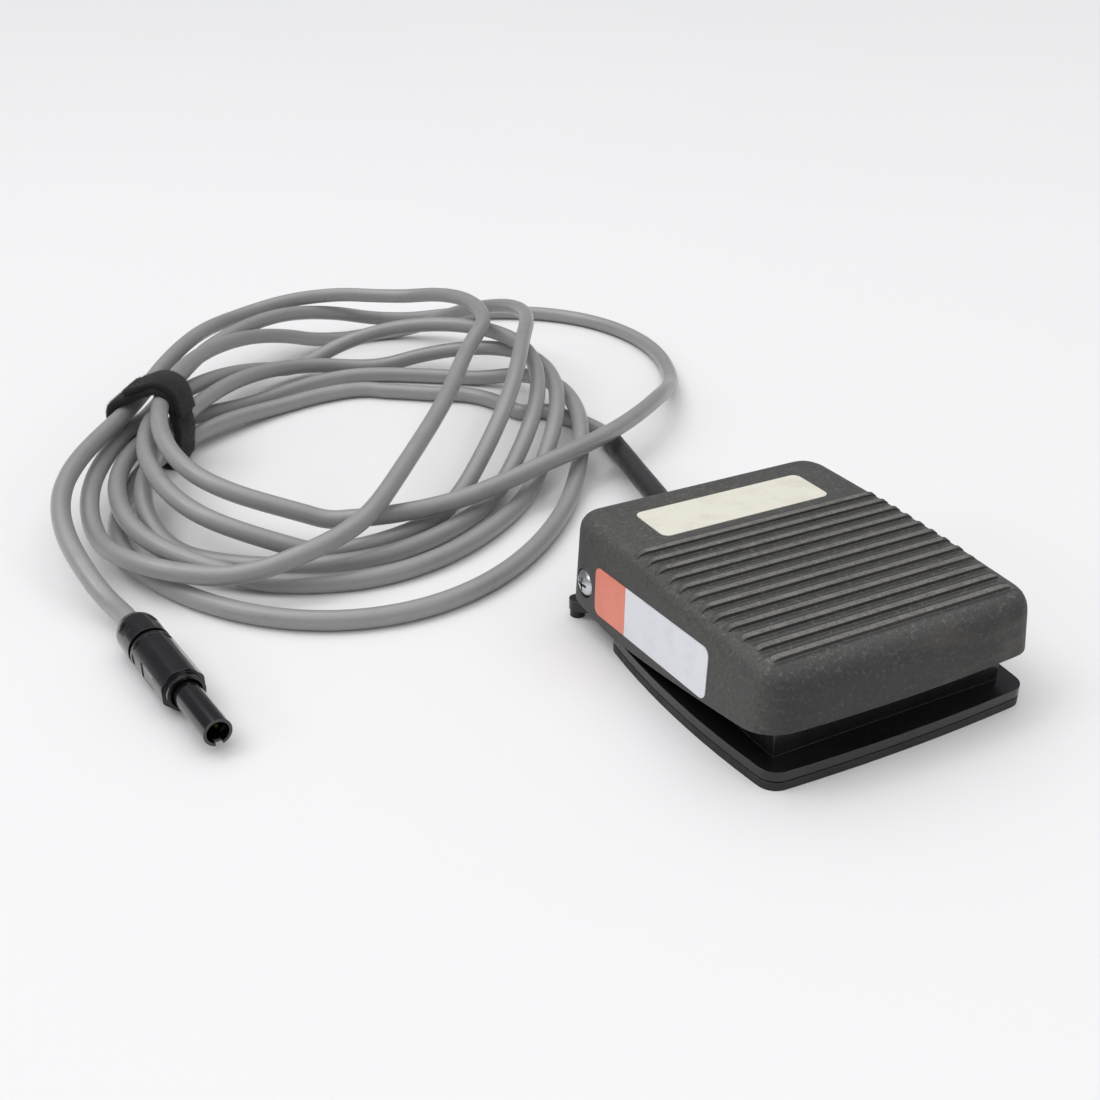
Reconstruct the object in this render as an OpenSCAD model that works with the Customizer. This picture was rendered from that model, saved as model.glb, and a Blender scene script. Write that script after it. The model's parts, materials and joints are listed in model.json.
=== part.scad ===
// Foot switch: a ribbed pedal hinged over a low housing, with a snap switch inside,
// a long signal cord kept in six loops by a hook-and-loop tie, and an inline plug.
// Millimetres, +Z up. It stands on z = 0; the toe end points along -Y and the hinge
// and the cord are at the +Y end.

/* [Pedal] */
// Width of the pedal at its lower edge
pedal_w = 76; // [70:0.5:90]
// Length of the pedal from toe to heel
pedal_l = 86; // [82:0.5:96]
// Height of the pedal's top at the heel
pedal_top = 29.7; // [28.5:0.1:36]
// How far the top has sunk at the toe
pedal_fall = 2.6; // [0:0.1:3.4]
// Thickness of the pedal's walls
pedal_wall = 2.2; // [1.6:0.1:2.6]
// Radius of the pedal's upright corners
pedal_corner = 8; // [6.5:0.5:12]
// How far the toe wall bows forward at its middle
pedal_bow = 1.2; // [0.4:0.1:2]
// How much the side walls lean in up to the shoulder
pedal_draft = 0.9; // [0:0.1:1.2]
// Radius of the shoulder along the sides
side_round = 4; // [2:0.1:5]
// Radius of the shoulder at the heel
heel_round = 3.5; // [2:0.1:5]
// Radius of the shoulder at the toe
toe_round = 6; // [3:0.1:6.4]
// Height of the lower edge at its lowest point
skirt_low = 5.6; // [5.4:0.1:6.5]
// Height of the lower edge at the heel
skirt_heel = 7.6; // [6.5:0.1:9]
// Height of the lower edge at the toe
skirt_toe = 14.2; // [11:0.1:15]
// How far ahead of the hinge the lower edge is lowest
knee_ahead = 12.5; // [8:0.5:16]

/* [Ribs] */
// Number of grip ribs
rib_count = 12; // [4:1:12]
// Width of a rib
rib_w = 2.1; // [1.4:0.1:2.6]
// Height of a rib above the pedal
rib_h = 0.9; // [0.4:0.1:1.2]
// Distance from the heel to the first rib
rib_first = 28.85; // [27:0.05:31]
// Distance from the last rib to the toe
rib_last = 8.65; // [7:0.05:12]
// Space between a rib's end and the pedal's side
rib_end = 2.6; // [2:0.1:6]

/* [Hinge] */
// Distance from the heel to the hinge line
hinge_in = 9.5; // [8.5:0.5:11]
// Height of the hinge line
hinge_z = 13.4; // [12:0.1:15]
// Radius of the hinge screw's shoulder
pivot_r = 2.2; // [1.8:0.1:2.5]
// Radius of the hinge screw's thread
pivot_thread_r = 1.5; // [1.2:0.1:1.7]
// Radius of the hinge screw's head
pivot_head_r = 3.45; // [3:0.05:4]
// Height of the hinge screw's head
pivot_head_h = 1.9; // [1.4:0.1:2.4]
// Radius of the housing's hinge bosses
boss_r = 4.6; // [4:0.1:5]
// Wall of the hinge bushes
bush_wall = 0.8; // [0.6:0.1:1]

/* [Base] */
// Height of the rubber sole
sole_h = 2.1; // [1.6:0.1:3]
// Thickness of the housing's floor and flange
flange_h = 2.6; // [2:0.1:2.7]
// Height of the groove between sole and flange
groove_h = 0.35; // [0.2:0.05:0.6]
// Depth of the groove between sole and flange
groove_in = 0.8; // [0.4:0.1:1.2]
// How far the flange's ends lie inside the pedal's side
flange_side = 2.3; // [1:0.1:4]
// How far each side of the flange bows out
flange_bow = 2.4; // [0:0.1:3]
// Length of the flange from toe to its heel end
flange_l = 66.2; // [60:0.2:68]
// How far the flange's toe edge bows out
flange_toe_bow = 1.25; // [0:0.05:2]
// Radius of the flange's corners
flange_corner = 4.5; // [2:0.1:8]
// Distance from the pedal's side to the housing's box
box_side = 6.4; // [5:0.1:7.5]
// Distance from the flange's toe edge to the box
box_toe = 5.2; // [4:0.1:7]
// Distance from the box's rear wall to the pedal's heel
box_heel = 4; // [3.7:0.1:5]
// Height of the box's walls above the floor
box_h = 13.4; // [11.5:0.1:14]
// Thickness of the box's walls
box_wall = 2; // [1.6:0.1:2.6]
// Radius of the rear feet
foot_r = 2.2; // [2:0.1:3]
// Height of the rear arms that carry the feet
foot_arm_h = 2.8; // [2:0.1:3]
// Thickness of the chassis plate
plate_h = 1.2; // [0.8:0.1:2]
// Radius of the base screws' thread
base_screw_r = 1.5; // [1.2:0.1:1.8]
// Radius of the base screws' heads
base_head_r = 2.8; // [2.4:0.1:3.2]
// Height of the base screws' heads
base_head_h = 1.6; // [1.2:0.1:2]

/* [Switch] */
// Length of the snap switch
switch_l = 19.8; // [18:0.1:22]
// Thickness of the snap switch
switch_t = 6.4; // [6:0.1:8]
// Height of the snap switch
switch_h = 10.2; // [9.5:0.1:12]
// Thickness of the switch's cover plate
switch_cover_t = 1.2; // [1:0.1:2]
// Distance of the switch from the middle
switch_x = 15; // [14:0.5:18]
// Distance from the hinge line to the lever's pin
lever_ahead = 30; // [28:0.5:32]
// Length of the lever ahead of its pin
lever_l = 20; // [17:0.5:21]
// Width of the lever
lever_w = 3.2; // [3:0.1:3.6]
// Thickness of the lever
lever_t = 0.5; // [0.3:0.1:0.8]
// Angle at which the lever stands up at rest
lever_lift = 8; // [6:0.5:9]
// Distance from the lever's pin to the button
button_ahead = 6; // [4:0.5:8]
// Width of the button
button_w = 2.2; // [1.6:0.1:3]
// Distance from the lever's pin to the pedal's stud
stud_ahead = 13.5; // [11:0.5:15]
// Radius of the pedal's stud
stud_r = 1.5; // [1:0.1:2]
// Thickness of the switch bracket
bracket_t = 1.2; // [0.8:0.1:1.6]
// Width of the terminal tabs
tab_w = 3.2; // [2:0.1:3.4]
// Thickness of the terminal tabs
tab_t = 0.5; // [0.4:0.1:0.6]
// Length of the terminal tabs outside the switch
tab_l = 6.4; // [5:0.1:8]
// Diameter of the inner wires
wire_d = 1.6; // [1.2:0.1:2]

/* [Return spring] */
// Outer diameter of the return spring
spring_d = 12; // [9:0.5:14]
// Diameter of the spring's wire
spring_wire = 1; // [0.8:0.1:1.2]
// Number of turns
spring_turns = 6; // [4:1:8]
// Distance from the front of the housing's box to the spring
spring_in = 16; // [14:0.5:20]
// Distance of the spring from the middle
spring_x = -8; // [-14:0.5:-7]

/* [Labels] */
// Length of the rating label on the top, across the pedal
rating_w = 49; // [30:1:56]
// Width of the rating label
rating_l = 14; // [8:0.5:14.5]
// Length of the label on the side
side_label_l = 47.6; // [30:0.2:52]
// Height of the label on the side
side_label_h = 12.4; // [8:0.1:13]
// Length of the side label's coloured part
side_band_l = 13.8; // [6:0.1:20]
// Thickness of the labels
label_t = 0.2; // [0.1:0.05:0.4]
// Corner radius of the labels
label_r = 2; // [0.5:0.1:4]

/* [Cord] */
// Diameter of the cord
cord_d = 5.3; // [4.8:0.1:5.3]
// Outer diameter of the sleeve where the cord leaves
sleeve_d = 6.6; // [6.2:0.1:7]
// Height at which the cord leaves the housing
exit_z = 11; // [10.5:0.1:12]
// Outer diameter of the grommet's flanges
grommet_d = 10; // [9.6:0.1:10.1]
// Half the loops' length
loop_long = 90; // [88:0.5:92]
// Half the loops' width
loop_short = 62; // [60:0.5:64]
// Distance between loops that lie side by side
loop_step = 6; // [6:0.05:6.2]
// Width of the hook-and-loop tie along the bundle
tie_w = 12.5; // [10:0.5:16]
// Thickness of the tie
tie_t = 2.2; // [1.6:0.1:2.4]

/* [Plug] */
// Diameter of the plug's body
plug_d = 10.7; // [10:0.1:12]
// Length of the rear nut
nut_l = 11; // [9:0.5:13]
// Length of the release shell
shell_l = 22; // [18:0.5:26]
// Length of the nose in front of the shell
nose_l = 18; // [14:0.5:22]
// Diameter of the nose
nose_d = 6.6; // [6.2:0.1:7]
// Wall of the nose
nose_wall = 0.7; // [0.5:0.1:0.9]
// Travel of the release shell
shell_travel = 1.2; // [0.6:0.1:1.4]
// Diameter of the contact pins
pin_d = 0.9; // [0.6:0.1:1]

/* [Hidden] */

// Cuts run past the faces that they open by this much
over = 1;
// Play between a shaft and its bore, and between moving walls
fit_gap = 0.06;
play = 0.3;
// Shapes joined in one piece sink into each other by this much
sink = 0.4;

$fn = 48;

// Places that several pieces share
heel_y = pedal_l / 2;
toe_y = -pedal_l / 2;
hinge_y = heel_y - hinge_in;
rib_pitch = (pedal_l - rib_first - rib_last) / (rib_count - 1);
box_w = pedal_w - 2 * box_side;
flange_w = pedal_w - 2 * flange_side;
knee_y = hinge_y - knee_ahead;
floor_z = sole_h + flange_h;
plate_top = floor_z + plate_h;
flange_toe_y = toe_y + flange_toe_bow;
flange_heel_y = flange_toe_y + flange_l;
box_toe_y = flange_toe_y + box_toe;
box_heel_y = heel_y - box_heel;
wall_in_x = pedal_w / 2 - pedal_wall;
boss_end_x = wall_in_x - 2 * pedal_wall / 3 - play / 2;
pedal_boss_x = boss_end_x + play;

// The pedal's surface
steps_side = 12;
steps_arc = 6;
steps_shoulder = 5;

function mix(a, b, t) = a + (b - a) * t;
function top_z(y) = pedal_top
    - pedal_fall * pow(max(0, rib_y(0) - y) / (rib_y(0) - toe_y), 1.7);
function skirt_z(y) = y > knee_y
    ? mix(skirt_low, skirt_heel, (y - knee_y) / (heel_y - knee_y))
    : mix(skirt_low, skirt_toe, pow((knee_y - y) / (knee_y - toe_y), 1.35));
function rib_y(i) = heel_y - rib_first - i * rib_pitch;

// One half of the pedal's outline, from the middle of the toe to the heel's corner:
// each entry is the point and the direction that faces out of the wall there
half_x = pedal_w / 2 - pedal_corner;
toe_corner_y = toe_y + pedal_bow + pedal_corner;
heel_corner_y = heel_y - pedal_corner;
half_outline = concat(
    [for (t = [0, 1/4, 1/2, 3/4])
        [[half_x * t, toe_y + pedal_bow * t * t], [0, -1]]],
    [for (i = [0 : steps_arc]) let (a = -90 + 90 * i / steps_arc)
        [[half_x + pedal_corner * cos(a), toe_corner_y + pedal_corner * sin(a)], [cos(a), sin(a)]]],
    [for (i = [1 : steps_side - 1])
        [[pedal_w / 2, mix(toe_corner_y, heel_corner_y, i / steps_side)], [1, 0]]],
    [for (i = [0 : steps_arc]) let (a = 90 * i / steps_arc)
        [[half_x + pedal_corner * cos(a), heel_corner_y + pedal_corner * sin(a)], [cos(a), sin(a)]]]);
half_n = len(half_outline);
ring_n = 2 * half_n - 1;

function shoulder(n, thin) = max(pedal_wall / 4,
    (n.y < 0 ? mix(side_round, toe_round, n.y * n.y) : mix(side_round, heel_round, n.y * n.y)) - thin);

// A point of the shell: up is 0 at the lower edge and 1 at the top of the shoulder's arc,
// thin is how far the surface lies inside the outer one
function shell_point(e, up, thin) = let (
        n = e[1],
        r = shoulder(n, thin),
        arc = max(0, up - 1) * 90,
        inset = thin + pedal_draft * min(1, up) + r * (1 - cos(arc)),
        p = e[0] - n * inset,
        y = min(max(p.y, toe_y), heel_y),
        low = skirt_z(e[0].y),
        high = top_z(y) - thin,
        z = up <= 1 ? mix(low, high - r, up) : high - r * (1 - sin(arc)))
    [p.x, p.y, z];
function shell_ring(up, thin) = let (half = [for (e = half_outline) shell_point(e, up, thin)])
    concat(half, [for (i = [half_n - 1 : -1 : 1]) [-half[i].x, half[i].y, half[i].z]]);

// Faces of a closed skin of rings, each ring with its partner across the middle
function skin_faces(rings) = concat(
    [for (k = [0 : rings - 2], i = [0 : ring_n - 1])
        let (a = k * ring_n + i, b = k * ring_n + (i + 1) % ring_n)
        each [[a, b + ring_n, b], [a, a + ring_n, b + ring_n]]],
    cap_faces(0, false), cap_faces((rings - 1) * ring_n, true));
function cap_faces(first, up) = [for (i = [0 : half_n - 2])
        let (a = first + i, b = a + 1, c = first + ring_n - i - 1, d = c + 1)
        each concat([up ? [a, c, b] : [a, b, c]],
            i == 0 ? [] : [up ? [a, d, c] : [a, c, d]])];

module shell_block(grown) {
    rings = [for (u = [0 : 1/2 : 2]) shell_ring(u, -grown)];
    polyhedron([for (r = rings) each r], skin_faces(len(rings)));
}

module pedal_shell() {
    ups = concat([0, 1/2], [for (i = [0 : steps_shoulder]) 1 + i / steps_shoulder]);
    inner_ups = [2, 3/2, 1, 0];
    rings = concat([for (u = inner_ups) shell_ring(u, pedal_wall)],
        [for (u = ups) shell_ring(u, 0)]);
    polyhedron([for (r = rings) each r], skin_faces(len(rings)));
}

// A rib follows the top across and dips into the shoulder at both ends
rib_share = [-1, -0.99, -0.965, -0.93, -0.5, 0, 0.5, 0.93, 0.965, 0.99, 1];
rib_rise_share = [0.2, 0.6, 0.87, 1, 1, 1, 1, 1, 0.87, 0.6, 0.2];
rib_side_share = [-1, -0.72, 0, 0.72, 1];
rib_top_share = [0, 0.82, 1, 0.82, 0];
function across_z(x, y) = let (
        flat = pedal_w / 2 - pedal_draft - side_round,
        d = min(side_round, max(0, abs(x) - flat)))
    top_z(y) - side_round + sqrt(side_round * side_round - d * d);
module rib(i) {
    reach = pedal_w / 2 - rib_end - (i > 7 ? (i - 7) * rib_end / 4 : 0);
    y = rib_y(i);
    points = [for (s = [0 : 10], t = [0 : 4]) let (x = rib_share[s] * reach)
        [x, y + rib_side_share[t] * rib_w / 2,
            across_z(x, y) - sink + (rib_h + sink) * rib_rise_share[s] * rib_top_share[t]]];
    polyhedron(points, concat(
        [for (s = [0 : 9], t = [0 : 4]) let (a = s * 5 + t, b = s * 5 + (t + 1) % 5)
            each [[a, b, b + 5], [a, b + 5, a + 5]]],
        [[4, 3, 2, 1, 0], [50, 51, 52, 53, 54]]));
}

module along_x(x, y, z) {
    translate([x, y, z]) rotate([0, 90, 0]) children();
}

module both_sides() {
    children();
    mirror([1, 0, 0]) children();
}

stud_y = hinge_y - lever_ahead - stud_ahead;
spring_y = box_toe_y + spring_in;
stud_boss_r = stud_r + pedal_wall;
under_z = top_z(stud_y) - pedal_wall;
stud_boss_h = pedal_wall / 2;
stiffener_x = switch_x + stud_boss_r + pedal_wall;
spring_rings = 8;
spring_boss_r = (spring_d - spring_wire) / 2 * cos(180 / spring_rings) - spring_wire / 2 - play;
spring_top_z = top_z(spring_y - spring_d / 2) - pedal_wall - fit_gap;
head_seat_x = pedal_w / 2 - pivot_head_h * 3 / 4;
bush_r = pivot_r + fit_gap + bush_wall;
notch_w = sleeve_d + 4 * pedal_wall;
exit_x = 1.5;

module pedal() color("#353535") {
    difference() {
        union() {
            pedal_shell();
            for (i = [0 : rib_count - 1]) rib(i);
            both_sides() along_x(pedal_boss_x, hinge_y, hinge_z)
                cylinder(r = boss_r, h = wall_in_x + pedal_wall / 2 - pedal_boss_x);
            translate([switch_x, stud_y, under_z - stud_boss_h])
                cylinder(r = stud_boss_r, h = stud_boss_h + pedal_wall / 2);
            translate([spring_x, spring_y, spring_top_z - spring_wire])
                cylinder(r = spring_boss_r, h = spring_wire + pedal_wall);
            both_sides() translate([stiffener_x, -pedal_l / 4, under_z - pedal_wall])
                cube([pedal_wall / 2, pedal_l * 0.45, pedal_wall * 1.6]);
        }
        both_sides() {
            along_x(pedal_boss_x - over, hinge_y, hinge_z) cylinder(r = bush_r, h = pedal_w);
            along_x(head_seat_x, hinge_y, hinge_z) cylinder(r = pivot_head_r + play, h = pedal_w);
        }
        translate([switch_x, stud_y, under_z - stud_boss_h - over])
            cylinder(r = stud_r, h = stud_boss_h + over + pedal_wall / 2);
        translate([exit_x, heel_y - pedal_wall - over, 0]) rotate([-90, 0, 0]) {
            translate([0, -exit_z - play, 0]) cylinder(d = notch_w, h = pedal_wall + 2 * over);
            translate([-notch_w / 2, -exit_z - play, 0])
                cube([notch_w, exit_z + play + over, pedal_wall + 2 * over]);
        }
    }
}

module hinge_bushes() color("#d8d2c0") both_sides() along_x(pedal_boss_x, hinge_y, hinge_z)
    difference() {
        cylinder(r = bush_r, h = head_seat_x - pedal_boss_x);
        translate([0, 0, -over]) cylinder(r = pivot_r + fit_gap, h = pedal_w);
    }

// Shouldered pan-head screw, its thread in the housing's boss
pivot_thread_l = 3 * pivot_thread_r + box_wall;
module hinge_screws() color("#b9bcc0") both_sides() {
    difference() {
        union() {
            along_x(boss_end_x - pivot_thread_l, hinge_y, hinge_z)
                cylinder(r = pivot_thread_r, h = pivot_thread_l + sink);
            along_x(boss_end_x, hinge_y, hinge_z)
                cylinder(r = pivot_r, h = head_seat_x - boss_end_x + sink);
            along_x(head_seat_x + fit_gap, hinge_y, hinge_z) rotate_extrude()
                polygon(concat([[0, 0], [pivot_head_r, 0]],
                    [for (a = [20, 40, 60, 75])
                        [pivot_head_r * cos(a) / cos(20),
                            pivot_head_h * mix(1/3, 1, (sin(a) - sin(20)) / (1 - sin(20)))]],
                    [[0, pivot_head_h]]));
        }
        for (a = [0, 90])
            along_x(head_seat_x + pivot_head_h / 3, hinge_y, hinge_z) rotate([0, 0, a])
                translate([-pivot_head_r * 0.55, -pivot_head_r / 9, 0])
                cube([pivot_head_r * 1.1, pivot_head_r / 4.5, pivot_head_h]);
    }
}

function rounded(w, l, r, n = 6) = [for (c = [0 : 3], i = [0 : n]) let (
        a = 90 * c + 90 * i / n,
        sx = (c == 0 || c == 3) ? 1 : -1,
        sy = c < 2 ? 1 : -1)
    [sx * (w / 2 - r) + r * cos(a), sy * (l / 2 - r) + r * sin(a)]];

rating_y = rib_y(0) + rib_pitch + rating_l / 2;
module rating_label() color("#e6e1cf")
    translate([0, rating_y, pedal_top]) linear_extrude(label_t)
        polygon(rounded(rating_w, rating_l, label_r));

// The side label is a skin on the leaning wall, its lower edge along the skirt
side_label_back_y = hinge_y - pivot_head_r - pedal_wall;
label_tilt = 3;
side_mid_y = side_label_back_y - side_label_l / 2;
side_mid_z = skirt_z(side_label_back_y) + side_label_h / 2 + pedal_wall
    + side_label_l / 2 * tan(label_tilt);
module on_side_wall(from, length) difference() {
    intersection() {
        shell_block(label_t);
        translate([-pedal_w / 4, side_mid_y, side_mid_z]) rotate([-label_tilt, 0, 0])
            rotate([90, 0, -90]) linear_extrude(pedal_w / 2) intersection() {
                polygon(rounded(side_label_l, side_label_h, label_r));
                translate([from - side_label_l / 2, -side_label_h])
                    square([length, 2 * side_label_h]);
            }
    }
    shell_block(0);
}
module side_label() color("#eef0f4") on_side_wall(side_band_l, side_label_l);
module side_band() color("#ee7a62") on_side_wall(-side_label_l, side_label_l + side_band_l);

lever_pin_y = hinge_y - lever_ahead;
switch_z = plate_top;
pin_r = 0.6;
lever_pin_z = switch_z + switch_h + pin_r + fit_gap + lever_t + play / 2;
lever_top_at_stud = lever_pin_z + stud_ahead * tan(lever_lift) + lever_t;
stud_tip_z = lever_top_at_stud + 2 * play;
module actuator_stud() color("#a8abb0")
    translate([switch_x, stud_y, stud_tip_z])
        cylinder(r = stud_r, h = under_z + pedal_wall / 2 - stud_tip_z);
module stud_nut() color("#b4b7ba") {
    nut_z = under_z - stud_boss_h - stud_r;
    translate([switch_x, stud_y, nut_z]) difference() {
        cylinder(r = 2 * stud_r, h = stud_r, $fn = 6);
        translate([0, 0, -over]) cylinder(r = stud_r, h = stud_r + 2 * over);
    }
}

// Outline of sole and flange: bowed toe and sides, narrower behind the flange
flange_mid_y = (flange_toe_y + flange_heel_y) / 2;
module flange_outline(inset) {
    half_w = flange_w / 2 - inset;
    half_l = flange_l / 2 - inset;
    offset(r = flange_corner) offset(delta = -flange_corner) translate([0, flange_mid_y])
        polygon(concat(
            [for (t = [-1 : 1/6 : 1]) [half_w * t, -half_l - flange_toe_bow * (1 - t * t)]],
            [for (t = [-5/6 : 1/6 : 5/6]) [half_w + flange_bow * (1 - t * t), half_l * t]],
            [for (t = [1, -1]) [half_w * t, half_l]],
            [for (t = [5/6 : -1/6 : -5/6]) [-half_w - flange_bow * (1 - t * t), half_l * t]]));
}
module box_outline(inset) {
    translate([-box_w / 2 + inset, box_toe_y + inset])
        square([box_w - 2 * inset, box_heel_y - box_toe_y - 2 * inset]);
}
foot_x = flange_w / 2 - sink;
foot_y = heel_y - foot_r;
module foot_arm_outline() {
    both_sides() hull() {
        translate([foot_x, foot_y]) circle(r = foot_r, $fn = 24);
        translate([box_w / 2 - foot_r, box_heel_y - 2 * foot_r]) circle(r = foot_r, $fn = 24);
    }
}

base_screw_x = box_w / 2 - box_wall - 2 * base_head_r;
base_screw_front_y = box_toe_y + box_wall + 2 * base_head_r;
base_screw_back_y = hinge_y - boss_r - 2 * base_head_r;
module at_base_screws() {
    for (x = [-base_screw_x, base_screw_x], y = [base_screw_front_y, base_screw_back_y])
        translate([x, y, 0]) children();
}

saddle_l = 9;
saddle_w = 20;
saddle_y = hinge_y - saddle_l / 2 + sink;
grommet_wall = 0.9;
grommet_hole_r = sleeve_d / 2 + grommet_wall;
module base_housing() color("#17181a") difference() {
    union() {
        translate([0, 0, sole_h]) linear_extrude(groove_h + sink) {
            flange_outline(groove_in);
            box_outline(groove_in);
        }
        translate([0, 0, sole_h + groove_h]) linear_extrude(flange_h - groove_h)
            flange_outline(0);
        translate([0, 0, sole_h + groove_h]) linear_extrude(flange_h - groove_h + box_h)
            box_outline(0);
        translate([0, 0, sole_h]) linear_extrude(foot_arm_h) foot_arm_outline();
        both_sides() along_x(box_w / 2 - box_wall - pivot_thread_l / 2, hinge_y, hinge_z)
            cylinder(r = boss_r, h = boss_end_x - box_w / 2 + box_wall + pivot_thread_l / 2);
    }
    difference() {
        translate([0, 0, floor_z]) linear_extrude(box_h + boss_r + over) box_outline(box_wall);
        both_sides() along_x(box_w / 2 - box_wall - pivot_thread_l / 2, hinge_y, hinge_z)
            cylinder(r = boss_r, h = pedal_w / 2);
    }
    both_sides() along_x(boss_end_x - pivot_thread_l, hinge_y, hinge_z)
        cylinder(r = pivot_thread_r, h = pedal_w);
    at_base_screws() cylinder(r = base_screw_r, h = floor_z + over);
    translate([exit_x, box_heel_y + over, exit_z]) rotate([90, 0, 0])
        cylinder(r = grommet_hole_r, h = box_wall + 2 * over);
}

module base_sole() color("#202022") difference() {
    union() {
        linear_extrude(sole_h) flange_outline(0);
        linear_extrude(sole_h) box_outline(0);
    }
    at_base_screws() translate([0, 0, -over])
        cylinder(r = base_head_r + play, h = sole_h + 2 * over);
}

module rear_feet() color("#1b1b1d") linear_extrude(sole_h) both_sides()
    translate([foot_x, foot_y]) circle(r = foot_r - play);

module chassis_plate() color("#9b9fa3") difference() {
    translate([0, 0, floor_z]) linear_extrude(plate_h) box_outline(box_wall + play);
    at_base_screws() cylinder(r = base_screw_r, h = plate_top + over);
}

module base_screws() color("#a9acb0") at_base_screws() difference() {
    union() {
        translate([0, 0, sole_h - base_head_h]) cylinder(r = base_head_r, h = base_head_h);
        translate([0, 0, sole_h - sink]) cylinder(r = base_screw_r, h = plate_top - sole_h + sink);
    }
    for (a = [0, 90]) rotate([0, 0, a])
        translate([-base_head_r / 2, -base_head_r / 8, sole_h - base_head_h - over])
        cube([base_head_r, base_head_r / 4, base_head_h / 2 + over]);
}

cup_h = 2;
cup_wall = 1;
cup_r = spring_d / 2 + play + cup_wall;
module spring_cup() color("#8d9094") translate([spring_x, spring_y, plate_top]) difference() {
    cylinder(r = cup_r, h = cup_h);
    translate([0, 0, cup_h / 3]) cylinder(r = spring_d / 2 + play, h = cup_h);
}

// A tube swept along a route: the ring at each point stands square to the route there
function way(p, i) = let (a = p[max(0, i - 1)], b = p[min(len(p) - 1, i + 1)]) (b - a) / norm(b - a);
function tube_ring(p, i, r, sides) = let (
        t = way(p, i),
        s = let (c = cross(t, [0, 0, 1])) c / norm(c),
        u = cross(s, t))
    [for (k = [0 : sides - 1]) let (a = 360 * k / sides) p[i] + r * (cos(a) * s + sin(a) * u)];
function tube_points(p, r, sides) = [for (i = [0 : len(p) - 1]) each tube_ring(p, i, r, sides)];
function tube_faces(n, sides) = concat(
    [for (i = [0 : n - 2], k = [0 : sides - 1])
        let (a = i * sides + k, b = i * sides + (k + 1) % sides)
        each [[a, b, a + sides], [b, b + sides, a + sides]]],
    [[for (k = [sides - 1 : -1 : 0]) k]],
    [[for (k = [0 : sides - 1]) (n - 1) * sides + k]]);
module tube(p, r, sides) {
    polyhedron(tube_points(p, r, sides), tube_faces(len(p), sides));
}

spring_low_z = plate_top + cup_h / 3 + spring_wire / 2;
spring_high_z = spring_top_z - spring_wire / 2 - fit_gap;
closed_turns = 0.9;
closed_share = 0.05;
function spring_height(t) = mix(spring_low_z, spring_high_z,
    t < closed_turns ? closed_share * t / closed_turns
        : t > spring_turns - closed_turns ? 1 - closed_share * (spring_turns - t) / closed_turns
        : mix(closed_share, 1 - closed_share, (t - closed_turns) / (spring_turns - 2 * closed_turns)));
module return_spring() color("#b8babd") {
    r = spring_d / 2 - spring_wire / 2;
    tube([for (i = [0 : spring_turns * spring_rings]) let (t = i / spring_rings)
        [spring_x + r * cos(360 * t), spring_y + r * sin(360 * t), spring_height(t)]],
        spring_wire / 2, 6);
}

// Routes, by hand, in round numbers: the sleeve, and the lead along the floor after it.
// The lead starts at the saddle.
sleeve_route = [[1.5, 34, 11], [1.5, 44, 11], [2.6, 52, 10.9], [4.8, 60, 10.5], [8.9, 73.6, 9.6],
    [13.2, 88.3, 8.1], [17.3, 101.4, 6.5], [21.7, 115.6, 4.9], [25.9, 129.8, 3.5]];
lead_floor = [[27, 136], [25.6, 145], [22.2, 154.5], [16.6, 163]];
lead_route = concat([[exit_x, saddle_y - saddle_l / 2, exit_z]], sleeve_route, [for (p = lead_floor) [p.x, p.y, cord_d / 2]]);

// The snap switch stands on the chassis plate, its length along the housing
switch_end = 3;
switch_back_y = lever_pin_y + switch_end;
switch_hole_r = 1.15;
switch_hole_step = switch_l * 0.7;
switch_hole_share = [0.7, 0.42];
module at_switch_holes() {
    for (i = [0, 1])
        translate([0, lever_pin_y - i * switch_hole_step, switch_z + switch_h * switch_hole_share[i]])
        children();
}
module switch_block(x, t) {
    difference() {
        translate([x, switch_back_y - switch_l, switch_z]) cube([t, switch_l, switch_h]);
        at_switch_holes() along_x(x - over, 0, 0) cylinder(r = switch_hole_r, h = t + 2 * over);
    }
}
switch_left_x = switch_x - switch_t / 2;
button_y = lever_pin_y - button_ahead;
button_deep = 3;
module switch_case() color("#7a1f1c") difference() {
    switch_block(switch_left_x, switch_t - switch_cover_t);
    translate([switch_x - button_w / 2 - play / 2, button_y - button_w / 2 - play / 2,
        switch_z + switch_h - button_deep - 2 * play])
        cube([button_w + play, button_w + play, button_deep + 2 * play + over]);
}
module switch_cover() color("#8a2622")
    switch_block(switch_left_x + switch_t - switch_cover_t, switch_cover_t);
button_top = lever_pin_z + (button_ahead - button_w / 2) * tan(lever_lift) - play / 2;
button_travel = 1;
button_low = switch_z + switch_h - button_deep + button_travel;
module switch_button() color("#d9d3c4")
    translate([switch_x - button_w / 2, button_y - button_w / 2, button_low])
        cube([button_w, button_w, button_top - button_low]);

module switch_lever() color("#c2c5c8")
    translate([switch_x, lever_pin_y, lever_pin_z]) rotate([-lever_lift, 0, 0]) difference() {
        union() {
            translate([-lever_w / 2, -lever_l, 0]) cube([lever_w, lever_l - pin_r, lever_t]);
            along_x(-lever_w / 2, 0, 0) cylinder(r = pin_r + fit_gap + lever_t, h = lever_w);
        }
        along_x(-lever_w, 0, 0) cylinder(r = pin_r + fit_gap, h = 2 * lever_w);
    }
module lever_pin() color("#8f9296") {
    ear_r = pin_r + fit_gap + lever_t;
    along_x(switch_x - lever_w / 2 - lever_t - play, lever_pin_y, lever_pin_z)
        cylinder(r = pin_r, h = lever_w + 2 * lever_t + 2 * play);
    for (x = [switch_x - lever_w / 2 - lever_t - play, switch_x + lever_w / 2 + play])
        translate([x, lever_pin_y - ear_r, switch_z + switch_h])
        cube([lever_t, 2 * ear_r, lever_pin_z + ear_r - switch_z - switch_h]);
}

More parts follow.
